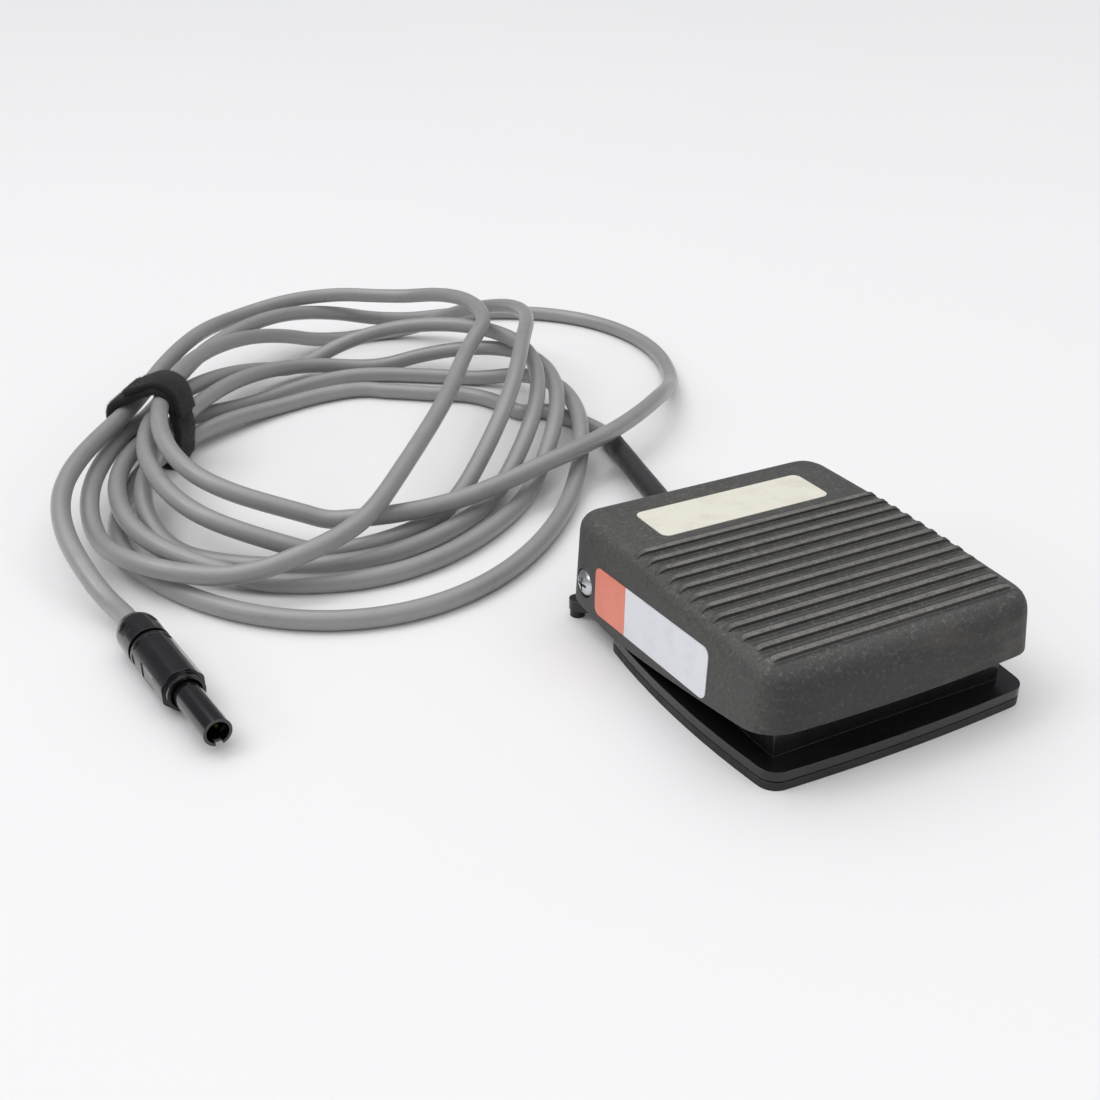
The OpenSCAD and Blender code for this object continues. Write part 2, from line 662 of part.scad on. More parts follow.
tab_share = [0.2, 0.5, 0.8];
module at_tabs() {
    for (s = tab_share) translate([switch_x, switch_back_y, switch_z + switch_h * s]) children();
}
tab_center_x = switch_left_x + (switch_t - switch_cover_t) / 2 - switch_x;
module switch_terminals() color("#c9a64b") at_tabs()
    translate([tab_center_x - tab_w / 2, 0, -tab_t / 2]) cube([tab_w, tab_l, tab_t]);
crimp_l = 9;
module wire_crimps() color("#b23a33") at_tabs()
    translate([tab_center_x - tab_w / 2 - tab_t / 2, play, -1.5 * tab_t]) difference() {
        cube([tab_w + tab_t, crimp_l, 3 * tab_t]);
        translate([tab_t / 2 - fit_gap, -over, tab_t - fit_gap])
            cube([tab_w + 2 * fit_gap, tab_l + over, tab_t + 2 * fit_gap]);
    }

// Three wires run one above the other from the end of the sheath to the crimps
wire_start_y = lead_route[0].y;
module lead_wires() for (i = [0 : 2]) color(["#c33a2e", "#2b2b2b", "#e8e8e8"][i]) {
    start = [exit_x, wire_start_y, exit_z + (i - 1) * (wire_d + fit_gap)];
    goal = [switch_x + tab_center_x, switch_back_y + play + crimp_l,
        switch_z + switch_h * tab_share[i]];
    stub = [0, wire_d / 2, 0];
    tube(concat([start], [for (t = [0 : 1/8 : 1]) let (e = t * t * (3 - 2 * t))
            [mix(start.x, goal.x, e), mix(start.y - stub.y, goal.y + stub.y, t),
                mix(start.z, goal.z, e)]],
        [goal]), wire_d / 2, 8);
}

module switch_bracket() color("#9da1a5") {
    x = switch_left_x - bracket_t;
    difference() {
        union() {
            translate([x, switch_back_y - switch_l, plate_top]) cube([bracket_t, switch_l, switch_h * 0.95]);
            translate([x - switch_t * 0.7, switch_back_y - switch_l, plate_top])
                cube([switch_t * 0.7 + sink, switch_l, bracket_t]);
        }
        at_switch_holes() along_x(x - over, 0, 0) cylinder(r = switch_hole_r, h = bracket_t + 2 * over);
    }
}
module switch_screws() color("#b4b7ba") {
    head_h = switch_hole_r;
    at_switch_holes() {
        along_x(switch_left_x + switch_t, 0, 0) cylinder(r = 2 * switch_hole_r, h = head_h);
        along_x(switch_left_x - bracket_t - head_h / 2, 0, 0)
            cylinder(r = switch_hole_r - fit_gap, h = switch_t + bracket_t + head_h / 2 + sink);
        along_x(switch_left_x - bracket_t - head_h, 0, 0)
            cylinder(r = 2 * switch_hole_r, h = head_h, $fn = 6);
    }
}

// The sheath is held on a post by a saddle and two screws
saddle_t = 1.6;
saddle_screw_x = saddle_w / 2 - base_head_r;
module cord_saddle() color("#2a2b2d") difference() {
    union() {
        translate([exit_x - saddle_w / 2, saddle_y - saddle_l / 2, plate_top])
            cube([saddle_w, saddle_l, exit_z - plate_top + saddle_t]);
        translate([exit_x, saddle_y + saddle_l / 2, exit_z]) rotate([90, 0, 0])
            cylinder(r = cord_d / 2 + saddle_t, h = saddle_l);
    }
    translate([exit_x, saddle_y + saddle_l, exit_z]) rotate([90, 0, 0])
        cylinder(r = cord_d / 2 + fit_gap, h = 2 * saddle_l);
    for (s = [-1, 1]) translate([exit_x + s * saddle_screw_x, saddle_y, plate_top - over])
        cylinder(r = base_screw_r, h = exit_z);
}
module saddle_screws() color("#b4b7ba")
    for (s = [-1, 1]) translate([exit_x + s * saddle_screw_x, saddle_y, 0]) {
        translate([0, 0, plate_top]) cylinder(r = base_screw_r - fit_gap, h = exit_z + saddle_t - plate_top + sink);
        translate([0, 0, exit_z + saddle_t]) cylinder(r = base_head_r, h = base_head_h);
    }

// Grommet in the housing's rear wall
module cord_grommet() color("#1d1d1f")
    translate([exit_x, box_heel_y, exit_z]) rotate([-90, 0, 0]) difference() {
        union() {
            cylinder(d = grommet_d, h = box_wall);
            translate([0, 0, -box_wall - sink]) cylinder(r = grommet_hole_r, h = box_wall + 2 * sink);
            translate([0, 0, -2 * box_wall]) cylinder(d = grommet_d, h = box_wall);
        }
        translate([0, 0, -3 * box_wall]) cylinder(d = sleeve_d + 2 * fit_gap, h = 6 * box_wall);
    }

module cord_sleeve() color("#232426") difference() {
    tube(sleeve_route, sleeve_d / 2, 12);
    tube(concat([sleeve_route[0] - [0, over, 0]], sleeve_route,
        [last_of(sleeve_route) + over * way(sleeve_route, len(sleeve_route) - 1)]),
        (cord_d + sleeve_d) / 4, 12);
}
function last_of(list) = list[len(list) - 1];

// The loops follow one egg-shaped ring that leans across the floor. Each loop keeps its own
// lane beside that ring, counted in loop steps outward, at every 30 degrees from the tie on.
loop_lean = 48;
loop_start = 100;
loop_round_share = 0.05;
tie_at = [-107, 187];
lane_share = [
    [0, 0, 0, 0, 0, 0, 0, -4.4, -6.1, -6.4, -5.9, -3.6],
    [-0.5, 0.1, 0.8, 2.5, 3.6, 2.6, 1.3, -0.4, -3.0, -3.7, -3.0, -2.0],
    [0.6, -0.2, -0.2, -0.4, -0.2, 0.1, -0.1, -0.7, -1.5, -2.0, -1.6, -0.9],
    [-1.1, -1.2, -1.3, -1.9, -2.1, -1.4, -1.2, -1.6, -1.5, -0.6, -0.2, 0.1],
    [0.1, -2.3, -2.3, -3.0, -3.4, -2.7, -2.6, -2.3, 1.8, 5.8, 3.2, 1.2],
    [-0.6, -3.4, -4.0, -4.8, -4.6, -1.8, 4.0, 7.3, 11.9, 8.3, 4.2, 2.1],
    [1.1, 1.1, 1.8, 1.2, -2.6, -5.2, -6, -5.3, -1.9, 3.8, 6.2, 3.1],
    [0.4, 2.3, 3.4, 6.5, 10]];
lanes = [for (row = lane_share) each row];
loop_rings = 24;
fine = 3;
first_turn = 5 / 9;
last_turn = 7 + 11 / 60;

function loop_raw(q) = let (u = [cos(loop_lean), sin(loop_lean)], v = [-u.y, u.x])
    u * loop_long * (cos(q) - loop_round_share * cos(3 * q)) / (1 - loop_round_share)
    + v * loop_short * sin(q);
function loop_at(q) = tie_at + loop_raw(loop_start + q) - loop_raw(loop_start);
function loop_out(q) = let (d = loop_at(q + 1) - loop_at(q - 1)) [d.y, -d.x] / norm(d);
function lane(turn) = let (
        x = turn * 12,
        j = min(floor(x), len(lanes) - 2),
        t = x - j,
        a = lanes[max(j - 1, 0)], b = lanes[j], c = lanes[j + 1],
        d = lanes[min(j + 2, len(lanes) - 1)])
    (pow(1 - t, 3) * a + (3 * pow(t, 3) - 6 * t * t + 4) * b
        + (1 + 3 * t + 3 * t * t - 3 * pow(t, 3)) * c + pow(t, 3) * d) / 6;
function plan_at(turn) = let (q = 360 * (turn - floor(turn)))
    loop_at(q) + loop_out(q) * lane(turn) * loop_step;

// Heights: the cord rests on the floor, in the tie, or on the strands laid before it,
// and its stiffness carries it over them in a long low hump; the last loop also spans
// the coil's empty middle on a rising bridge
rest_share = 1.05;
hump = 0.0035;
hump_reach = 18;
own_reach = 60;
tie_lift = tie_t + 0.2;
tie_hold = 12;
bridge = [6.34, 6.58];
bridge_low = 14.5;
bridge_high = 23;
function bridge_z(turn) = turn < bridge[0] || turn > bridge[1] ? 0
    : mix(bridge_low, bridge_high, (turn - bridge[0]) / (bridge[1] - bridge[0]));
function runs(p) = [for (i = 0, s = 0; i < len(p);
    s = s + (i + 1 < len(p) ? norm(p[i + 1] - p[i]) : 0), i = i + 1) s];
function at_ends(list, i) = list[min(max(i, 0), len(list) - 1)];
function rests(plan, s, i) = [for (j = [0 : 1 : i - 1]) if (s[i] - s[j] > own_reach)
    let (d = norm(plan[j] - plan[i])) if (d < loop_step)
    [j, rest_share * sqrt(loop_step * loop_step - d * d)]];
function near(n, i) = [max(0, i - hump_reach) : min(n - 1, i + hump_reach)];
function settle(z, ground, on, s, times) = times == 0 ? z : let (
        n = len(z),
        held = [for (i = [0 : n - 1]) max([ground[i], for (r = on[i]) z[r[0]] + r[1]])],
        wide = [for (i = [0 : n - 1]) max(at_ends(held, i - 1), held[i], at_ends(held, i + 1))],
        bent = [for (i = [0 : n - 1]) max([for (j = near(n, i)) wide[j] - hump * pow(s[j] - s[i], 2)])])
    settle([for (i = [0 : n - 1]) (at_ends(bent, i - 1) + bent[i] + at_ends(bent, i + 1)) / 3],
        ground, on, s, times - 1);
function coil_fine() = let (
        per = loop_rings * fine,
        lead = halved(concat([for (i = [5 : len(sleeve_route) - 1]) sleeve_route[i]],
            [for (p = lead_floor) [p.x, p.y, cord_d / 2]])),
        loops = [for (i = [round(first_turn * per) : round(last_turn * per)]) plan_at(i / per)],
        plan = concat([for (p = lead) [p.x, p.y]], loops),
        s = runs(plan),
        on = [for (i = [0 : len(plan) - 1]) rests(plan, s, i)],
        ground = [for (i = [0 : len(plan) - 1]) i < len(lead)
            ? lead[i].z + (lead[i].z > cord_d / 2 ? (sleeve_d - cord_d) / 2 : 0)
            : max(cord_d / 2 + (norm(plan[i] - tie_at) < tie_hold ? tie_lift : 0),
                bridge_z(first_turn + (i - len(lead)) / per))],
        z = settle(ground, ground, on, s, 14))
    [for (i = [len(lead) : len(plan) - 1]) [plan[i].x, plan[i].y, z[i]]];
function halved(p) = concat([for (i = [0 : len(p) - 2]) each [p[i], (p[i] + p[i + 1]) / 2]],
    [last_of(p)]);
function coil_route() = let (p = coil_fine())
    [for (i = [0 : fine : len(p) - 1]) p[i]];

// Least distance between strands that are not the same stretch of cord
function to_segment(p, a, b) = let (t = min(1, max(0, (p - a) * (b - a) / ((b - a) * (b - a)))))
    norm(p - a - t * (b - a));
function least_gap(p) = let (s = runs(p)) min([for (i = [0 : len(p) - 2], j = [0 : 1 : i - 1])
    if (s[i] - s[j + 1] > own_reach && norm(p[i] - p[j]) < 8 * cord_d)
    min([for (t = [0 : 1/4 : 3/4]) to_segment(mix(p[i], p[i + 1], t), p[j], p[j + 1])])]) - cord_d;

coil_start = concat(plan_at(first_turn), cord_d / 2);
module cord_lead() color("#8f8f92")
    tube(concat(lead_route, [coil_start - cord_d * lead_way(), coil_start]), cord_d / 2, 10);
function lead_way() = let (
        p = [for (i = [0, fine]) plan_at(round(first_turn * loop_rings * fine + i) / (loop_rings * fine))],
        d = (p[1] - p[0]) / norm(p[1] - p[0]))
    [d.x, d.y, 0];

module cord_coil() color("#8f8f92") {
    route = coil_route();
    echo(cord_loops_least_gap_mm = least_gap(route), cord_loops_length_mm = last_of(runs(route)),
        rings = len(route), start = route[0], end = last_of(route), top = max([for (p = route) p.z]),
        at_tie = [for (p = route) if (norm([p.x, p.y] - tie_at) < tie_hold) p.z]);
    tube(route, cord_d / 2, 6);
}

module cord_tail() color("#8f8f92") {
    route = coil_route();
    from = last_of(route);
    tube([from, from + cord_d * way(route, len(route) - 1), plug_at - cord_d * plug_way, plug_at,
        plug_at + (nut_l / 2 - fit_gap) * plug_way], cord_d / 2, 10);
}

// The tie is a strap closed round the bundle, its end doubled on top
tie_inner_w = 3.8 * loop_step;
tie_inner_h = 24;
tie_turn = atan2(loop_at(1).y - loop_at(-1).y, loop_at(1).x - loop_at(-1).x);
module in_tie() {
    translate([tie_at.x, tie_at.y, tie_t + tie_inner_h / 2]) rotate([0, 0, tie_turn])
        rotate([90, 0, 90]) translate([0, 0, -tie_w / 2]) linear_extrude(tie_w) children();
}
module cord_tie() color("#19191b") in_tie() difference() {
    polygon(rounded(tie_inner_w + 2 * tie_t, tie_inner_h + 2 * tie_t, tie_inner_w / 8 + tie_t));
    polygon(rounded(tie_inner_w, tie_inner_h, tie_inner_w / 8));
}
module tie_tab() color("#141416") in_tie() translate([0, (tie_inner_h + 3 * tie_t) / 2])
    polygon(rounded(tie_inner_w / 3, tie_t, tie_t / 3));

// The plug lies on the floor; its pieces are turned round its own axis, rear end at 0
plug_at = [-138.1, 78, 5.4];
plug_turn = -83.4;
plug_way = [cos(plug_turn), sin(plug_turn), 0];
module plug_frame() {
    translate(plug_at) rotate([0, 0, plug_turn]) rotate([0, 90, 0]) children();
}
shell_at = nut_l + shell_travel + play;
tip_at = shell_at + shell_l + nose_l;
plug_flat = 0.3;
plug_edge = 1;
neck_r = plug_d / 2 - plug_edge;
core_r = nose_d / 2 + plug_flat;
core_end = shell_at + shell_l / 3;
module plug_nut() color("#1e1e20") plug_frame() difference() {
    union() {
        rotate_extrude() polygon(concat([[0, 0]],
            [for (a = [0 : 15 : 90])
                [mix(cord_d / 2 + plug_edge, plug_d / 2, sin(a)), nut_l / 3 * (1 - cos(a))]],
            [[plug_d / 2, nut_l], [0, nut_l]]));
        cylinder(r = neck_r, h = shell_at + shell_travel + play);
        cylinder(r = core_r, h = core_end);
    }
    translate([0, 0, -over]) cylinder(r = cord_d / 2 + fit_gap, h = over + nut_l / 2);
    for (a = [45 : 90 : 315]) rotate([0, 0, a])
        translate([plug_d / 2 - plug_flat, -plug_d / 4, nut_l / 3])
        cube([plug_d, plug_d / 2, nut_l / 3]);
}
module plug_collet() color("#34353a") plug_frame() translate([0, 0, -plug_edge]) difference() {
    cylinder(r = cord_d / 2 + plug_edge, h = plug_edge);
    translate([0, 0, -over]) cylinder(r = cord_d / 2 + fit_gap, h = plug_edge + 2 * over);
}
module plug_shell() color("#161618") plug_frame() translate([0, 0, shell_at]) difference() {
    union() {
        cylinder(r = plug_d / 2, h = plug_edge);
        intersection() {
            cylinder(r = plug_d / 2, h = shell_l - 2 * plug_edge);
            rotate([0, 0, 22.5]) cylinder(d = plug_d * 1.025, h = shell_l, $fn = 8);
        }
        cylinder(r = plug_d / 2 - plug_edge * 0.8, h = shell_l);
    }
    translate([0, 0, -over]) cylinder(r = core_r + play / 2, h = shell_l + 2 * over);
    translate([0, 0, -over]) cylinder(r = neck_r + play / 2, h = over + 2 * shell_travel + 2 * play);
    for (a = [90, 270]) rotate([0, 0, a])
        translate([plug_d / 2 - plug_edge / 2, -plug_d / 5, shell_l * 0.3])
        cube([plug_d, plug_d / 2.5, shell_l * 0.35]);
}
nose_key = 1.4;
module plug_nose() color("#101012") plug_frame() difference() {
    union() {
        translate([0, 0, core_end + fit_gap]) cylinder(d = nose_d, h = tip_at - core_end - fit_gap);
        translate([nose_d / 2 - sink, -nose_key / 2, shell_at + shell_l + play])
            cube([sink + nose_key / 2, nose_key, nose_l * 0.85]);
    }
    translate([0, 0, tip_at - nose_l * 0.75]) cylinder(d = nose_d - 2 * nose_wall, h = nose_l);
    translate([nose_d / 2 - 2 * nose_wall, -nose_d / 8, tip_at - nose_key])
        cube([nose_d, nose_d / 4, nose_key + over]);
}
insert_l = nose_l * 0.3;
module at_pins() {
    for (a = [45 : 90 : 315]) rotate([0, 0, a])
        translate([nose_d / 4, 0, tip_at - nose_l * 0.75]) children();
}
module plug_insert() color("#2c2c30") plug_frame() difference() {
    translate([0, 0, tip_at - nose_l * 0.75]) cylinder(d = nose_d - 2 * nose_wall, h = insert_l);
    at_pins() translate([0, 0, -over]) cylinder(d = pin_d, h = insert_l + 2 * over);
}
module plug_pins() color("#c9a64b") plug_frame() at_pins()
    cylinder(d = pin_d, h = insert_l + nose_l * 0.22);

pedal();
hinge_bushes();
hinge_screws();
rating_label();
side_label();
side_band();
actuator_stud();
stud_nut();
base_housing();
base_sole();
rear_feet();
chassis_plate();
base_screws();
return_spring();
spring_cup();
switch_case();
switch_cover();
switch_button();
switch_lever();
lever_pin();
switch_terminals();
switch_bracket();
switch_screws();
wire_crimps();
lead_wires();
cord_saddle();
saddle_screws();
cord_grommet();
cord_sleeve();
cord_lead();
cord_coil();
cord_tail();
cord_tie();
tie_tab();
plug_nut();
plug_collet();
plug_shell();
plug_nose();
plug_insert();
plug_pins();
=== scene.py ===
import json
import math
import random
import bpy
import numpy as np
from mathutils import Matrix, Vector


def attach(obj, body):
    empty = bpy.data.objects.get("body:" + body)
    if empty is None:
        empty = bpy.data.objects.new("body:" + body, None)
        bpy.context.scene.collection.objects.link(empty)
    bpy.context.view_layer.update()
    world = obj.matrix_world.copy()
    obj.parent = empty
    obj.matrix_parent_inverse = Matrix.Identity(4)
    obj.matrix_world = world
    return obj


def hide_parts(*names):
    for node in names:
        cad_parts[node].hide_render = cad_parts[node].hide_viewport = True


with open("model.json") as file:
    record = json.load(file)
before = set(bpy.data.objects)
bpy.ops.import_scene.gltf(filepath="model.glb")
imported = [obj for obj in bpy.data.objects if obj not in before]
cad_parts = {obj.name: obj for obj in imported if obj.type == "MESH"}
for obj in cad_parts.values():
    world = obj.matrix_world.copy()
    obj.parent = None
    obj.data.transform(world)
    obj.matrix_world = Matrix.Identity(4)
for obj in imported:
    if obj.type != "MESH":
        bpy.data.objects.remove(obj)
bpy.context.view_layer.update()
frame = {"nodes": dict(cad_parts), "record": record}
nodes = frame["nodes"]
mm = 0.001


scene = bpy.context.scene

# Fitted to the photograph's edges
view = {
    "place": (-0.178765, -0.213332, 0.173283),
    "pitch": 62.078,
    "yaw": -28.063,
    "sensor": 36,
    "lens": 43.35,
    "near": 0.01,
    "far": 20,
}
camera = bpy.data.objects.new("camera", bpy.data.cameras.new("camera"))
scene.collection.objects.link(camera)
scene.camera = camera
camera.location = view["place"]
camera.rotation_euler = (math.radians(view["pitch"]), 0, math.radians(view["yaw"]))
camera.data.sensor_width = view["sensor"]
camera.data.lens = view["lens"]
camera.data.clip_start = view["near"]
camera.data.clip_end = view["far"]
print("camera", view["lens"], "mm")

# The cord's route, as in the part's source, in metres
cord = {
    "diameter": 5.3 * mm,
    "step": 6 * mm,
    "long": 90 * mm,
    "short": 62 * mm,
    "lean": math.radians(48),
    "startAngle": 100,
    "roundShare": 0.05,
    "tieAt": np.array([-107, 187]) * mm,
    "finePerTurn": 72,
    "firstTurn": 5 / 9,
    "lastTurn": 7 + 11 / 60,
    "restShare": 1.05,
    "hump": 0.0035 / mm,
    "humpReach": 18,  # points on each side that a hump lifts
    "ownReach": 60 * mm,  # nearer along the cord, it doesn't rest on itself
    "tieLift": 2.4 * mm,
    "tieHold": 12 * mm,
    "rounds": 14,
    "bridge": (6.34, 6.58),  # turns between which the cord spans the coil's middle
    "bridgeHeights": (14.5 * mm, 23 * mm),
    "sleeve": 6.6 * mm,
    "exit": (1.5 * mm, 41 * mm, 11 * mm),
    "start": (1.5 * mm, 24.9 * mm, 11 * mm),
    "restFrom": 5,  # the sleeve's row from which the coil may rest on it
    "startReach": 3,  # points that give the coil's first direction
    "spacing": 2 * mm,
    "rounding": 6,
}
sleeveRoute = [[1.5, 34, 11], [1.5, 44, 11], [2.6, 52, 10.9], [4.8, 60, 10.5], [8.9, 73.6, 9.6],
    [13.2, 88.3, 8.1], [17.3, 101.4, 6.5], [21.7, 115.6, 4.9], [25.9, 129.8, 3.5]]
leadFloor = [[27, 136], [25.6, 145], [22.2, 154.5], [16.6, 163]]
laneShare = [
    [0, 0, 0, 0, 0, 0, 0, -4.4, -6.1, -6.4, -5.9, -3.6],
    [-0.5, 0.1, 0.8, 2.5, 3.6, 2.6, 1.3, -0.4, -3.0, -3.7, -3.0, -2.0],
    [0.6, -0.2, -0.2, -0.4, -0.2, 0.1, -0.1, -0.7, -1.5, -2.0, -1.6, -0.9],
    [-1.1, -1.2, -1.3, -1.9, -2.1, -1.4, -1.2, -1.6, -1.5, -0.6, -0.2, 0.1],
    [0.1, -2.3, -2.3, -3.0, -3.4, -2.7, -2.6, -2.3, 1.8, 5.8, 3.2, 1.2],
    [-0.6, -3.4, -4.0, -4.8, -4.6, -1.8, 4.0, 7.3, 11.9, 8.3, 4.2, 2.1],
    [1.1, 1.1, 1.8, 1.2, -2.6, -5.2, -6, -5.3, -1.9, 3.8, 6.2, 3.1],
    [0.4, 2.3, 3.4, 6.5, 10]]
plugAt = np.array([-138.1, 78, 5.4]) * mm
plugTurn = math.radians(-83.4)
plugWay = np.array([math.cos(plugTurn), math.sin(plugTurn), 0])
lanes = [x for row in laneShare for x in row]


def loopRaw(degrees):
    q = math.radians(degrees)
    u = np.array([math.cos(cord["lean"]), math.sin(cord["lean"])])
    v = np.array([-u[1], u[0]])
    share = cord["roundShare"]
    reach = cord["long"] * (math.cos(q) - share * math.cos(3 * q)) / (1 - share)
    return u * reach + v * cord["short"] * math.sin(q)


def loopAt(q):
    return cord["tieAt"] + loopRaw(cord["startAngle"] + q) - loopRaw(cord["startAngle"])


def laneAt(turn):
    x = turn * len(laneShare[0])
    j = min(math.floor(x), len(lanes) - 2)
    t = x - j
    a, b, c = lanes[max(j - 1, 0)], lanes[j], lanes[j + 1]
    d = lanes[min(j + 2, len(lanes) - 1)]
    return ((1 - t) ** 3 * a + (3 * t ** 3 - 6 * t * t + 4) * b
        + (1 + 3 * t + 3 * t * t - 3 * t ** 3) * c + t ** 3 * d) / 6


def planAt(turn):
    q = 360 * (turn - math.floor(turn))
    along = loopAt(q + 1) - loopAt(q - 1)
    out = np.array([along[1], -along[0]]) / np.linalg.norm(along)
    return loopAt(q) + out * laneAt(turn) * cord["step"]


def lengthsAlong(points):
    return np.concatenate([[0], np.cumsum(np.linalg.norm(np.diff(points, axis=0), axis=1))])


# On the sleeve or the floor, in the tie, or on the bridge over the coil's middle
def groundAt(plan, lead):
    half = cord["diameter"] / 2
    low, high = cord["bridge"]
    heights = [p[2] + ((cord["sleeve"] / 2 - half) if p[2] > half else 0) for p in lead]
    for i in range(len(lead), len(plan)):
        turn = cord["firstTurn"] + (i - len(lead)) / cord["finePerTurn"]
        held = np.linalg.norm(plan[i] - cord["tieAt"]) < cord["tieHold"]
        height = half + (cord["tieLift"] if held else 0)
        if low <= turn <= high:
            height = max(height, np.interp(turn, cord["bridge"], cord["bridgeHeights"]))
        heights.append(height)
    return np.array(heights)


# The cord rests on the ground or on the strands laid before it, in long low humps
def settled(plan, ground):
    s = lengthsAlong(plan)
    count = len(plan)
    rests = []
    for i in range(count):
        gap = np.linalg.norm(plan[:i] - plan[i], axis=1)
        under = np.nonzero((s[i] - s[:i] > cord["ownReach"]) & (gap < cord["step"]))[0]
        rests.append([(j, cord["restShare"] * math.sqrt(cord["step"] ** 2 - gap[j] ** 2)) for j in under])
    z = ground
    for _ in range(cord["rounds"]):
        held = np.array([max([ground[i]] + [z[j] + h for j, h in rests[i]]) for i in range(count)])
        wide = np.maximum(held, np.maximum(np.r_[held[0], held[:-1]], np.r_[held[1:], held[-1]]))
        bent = np.empty(count)
        for i in range(count):
            near = slice(max(0, i - cord["humpReach"]), min(count, i + cord["humpReach"] + 1))
            bent[i] = (wide[near] - cord["hump"] * (s[near] - s[i]) ** 2).max()
        z = (np.r_[bent[0], bent[:-1]] + bent + np.r_[bent[1:], bent[-1]]) / 3
    return z


def halved(points):
    made = []
    for a, b in zip(points, points[1:]):
        made += [a, (a + b) / 2]
    return made + [points[-1]]


def coilRoute():
    lead = halved([np.array(p) * mm for p in sleeveRoute[cord["restFrom"]:]]
        + [np.array([*p, 0]) * mm + [0, 0, cord["diameter"] / 2] for p in leadFloor])
    per = cord["finePerTurn"]
    turns = range(round(cord["firstTurn"] * per), round(cord["lastTurn"] * per) + 1)
    plan = np.array([p[:2] for p in lead] + [planAt(i / per) for i in turns])
    return np.column_stack([plan, settled(plan, groundAt(plan, lead))])[len(lead):]


def unit(v):
    return v / np.linalg.norm(v)


# A cubic spline through the points, with points a spacing apart
def smoothLine(points, spacing):
    points = np.array(points)
    s = lengthsAlong(points)
    h = np.diff(s)
    count = len(s)
    system, right = np.eye(count), np.zeros((count, 3))
    for i in range(1, count - 1):
        system[i, i - 1:i + 2] = h[i - 1], 2 * (h[i - 1] + h[i]), h[i]
        right[i] = 6 * ((points[i + 1] - points[i]) / h[i] - (points[i] - points[i - 1]) / h[i - 1])
    bend = np.linalg.solve(system, right)
    at = np.linspace(0, s[-1], round(s[-1] / spacing) + 1)
    k = np.clip(np.searchsorted(s, at, side="right") - 1, 0, count - 2)
    a, b, w = (s[k + 1] - at)[:, None], (at - s[k])[:, None], h[k][:, None]
    return ((bend[k] * a ** 3 + bend[k + 1] * b ** 3) / (6 * w)
        + (points[k] / w - bend[k] * w / 6) * a + (points[k + 1] / w - bend[k + 1] * w / 6) * b)


coil = coilRoute()
radius = cord["diameter"] / 2
startWay = unit(coil[cord["startReach"]] - coil[0])
cordPoints = ([cord["start"]] + [[c * mm for c in p] for p in sleeveRoute]
    + [[p[0] * mm, p[1] * mm, radius] for p in leadFloor]
    + [coil[0] - cord["diameter"] * startWay] + list(coil)
    + [plugAt - cord["diameter"] * plugWay, plugAt, plugAt + cord["diameter"] * plugWay])
cordLine = smoothLine(cordPoints, cord["spacing"])


def curvePiece(name, points, thickness, rounding):
    data = bpy.data.curves.new(name, "CURVE")
    data.dimensions = "3D"
    data.bevel_depth = 1
    data.bevel_resolution = rounding
    data.use_fill_caps = True
    spline = data.splines.new("POLY")
    spline.points.add(len(points) - 1)
    for point, place in zip(spline.points, points):
        point.co = (*place, 1)
        point.radius = thickness / 2
    piece = bpy.data.objects.new(name, data)
    scene.collection.objects.link(piece)
    return piece


flex = curvePiece("signal_cord", cordLine, cord["diameter"], cord["rounding"])
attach(flex, "base")
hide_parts("cord_lead", "cord_coil", "cord_tail")
print("cord", len(cordLine), "points", round(lengthsAlong(cordLine)[-1], 4), "m")


def material(name):
    made = bpy.data.materials.new(name)
    made.use_nodes = True
    tree = made.node_tree
    return made, tree, tree.nodes["Principled BSDF"]


def node(tree, kind, **values):
    made = tree.nodes.new(kind)
    for key, value in values.items():
        if key in made.inputs:
            made.inputs[key].default_value = value
        else:
            setattr(made, key, value)
    return made


def coords(tree, scale=(1, 1, 1)):
    place = node(tree, "ShaderNodeTexCoord")
    mapping = node(tree, "ShaderNodeMapping", Scale=scale)
    tree.links.new(place.outputs["Object"], mapping.inputs["Vector"])
    return mapping.outputs["Vector"]


def noise(tree, vector, scale, detail=4, rough=0.55):
    made = node(tree, "ShaderNodeTexNoise", Scale=scale, Detail=detail, Roughness=rough)
    tree.links.new(vector, made.inputs["Vector"])
    return made.outputs["Fac"]


def ramp(tree, value, stops):
    made = node(tree, "ShaderNodeValToRGB")
    band = made.color_ramp
    while len(band.elements) < len(stops):
        band.elements.new(0.5)
    for element, (place, tone) in zip(band.elements, stops):
        element.position = place
        element.color = (*tone, 1)
    tree.links.new(value, made.inputs["Fac"])
    return made.outputs["Color"]


def ranged(tree, value, low, high, fromLow=0, fromHigh=1):
    made = node(tree, "ShaderNodeMapRange")
    for key, number in (("From Min", fromLow), ("From Max", fromHigh), ("To Min", low), ("To Max", high)):
        made.inputs[key].default_value = number
    tree.links.new(value, made.inputs["Value"])
    return made.outputs["Result"]


# Colour a where share is 0 and b where it is 1; each is a colour or a socket
def mixed(tree, share, a, b):
    made = node(tree, "ShaderNodeMix", data_type="RGBA")
    tree.links.new(share, made.inputs["Factor"])
    for socket, tone in ((made.inputs[6], a), (made.inputs[7], b)):
        if isinstance(tone, tuple):
            socket.default_value = (*tone, 1)
        else:
            tree.links.new(tone, socket)
    return made.outputs[2]


# A sum with two numbers or sockets
def calc(tree, a, b, kind="MULTIPLY"):
    made = node(tree, "ShaderNodeMath", operation=kind)
    for socket, value in zip(made.inputs, (a, b)):
        if isinstance(value, (int, float)):
            socket.default_value = value
        else:
            tree.links.new(value, socket)
    return made.outputs[0]


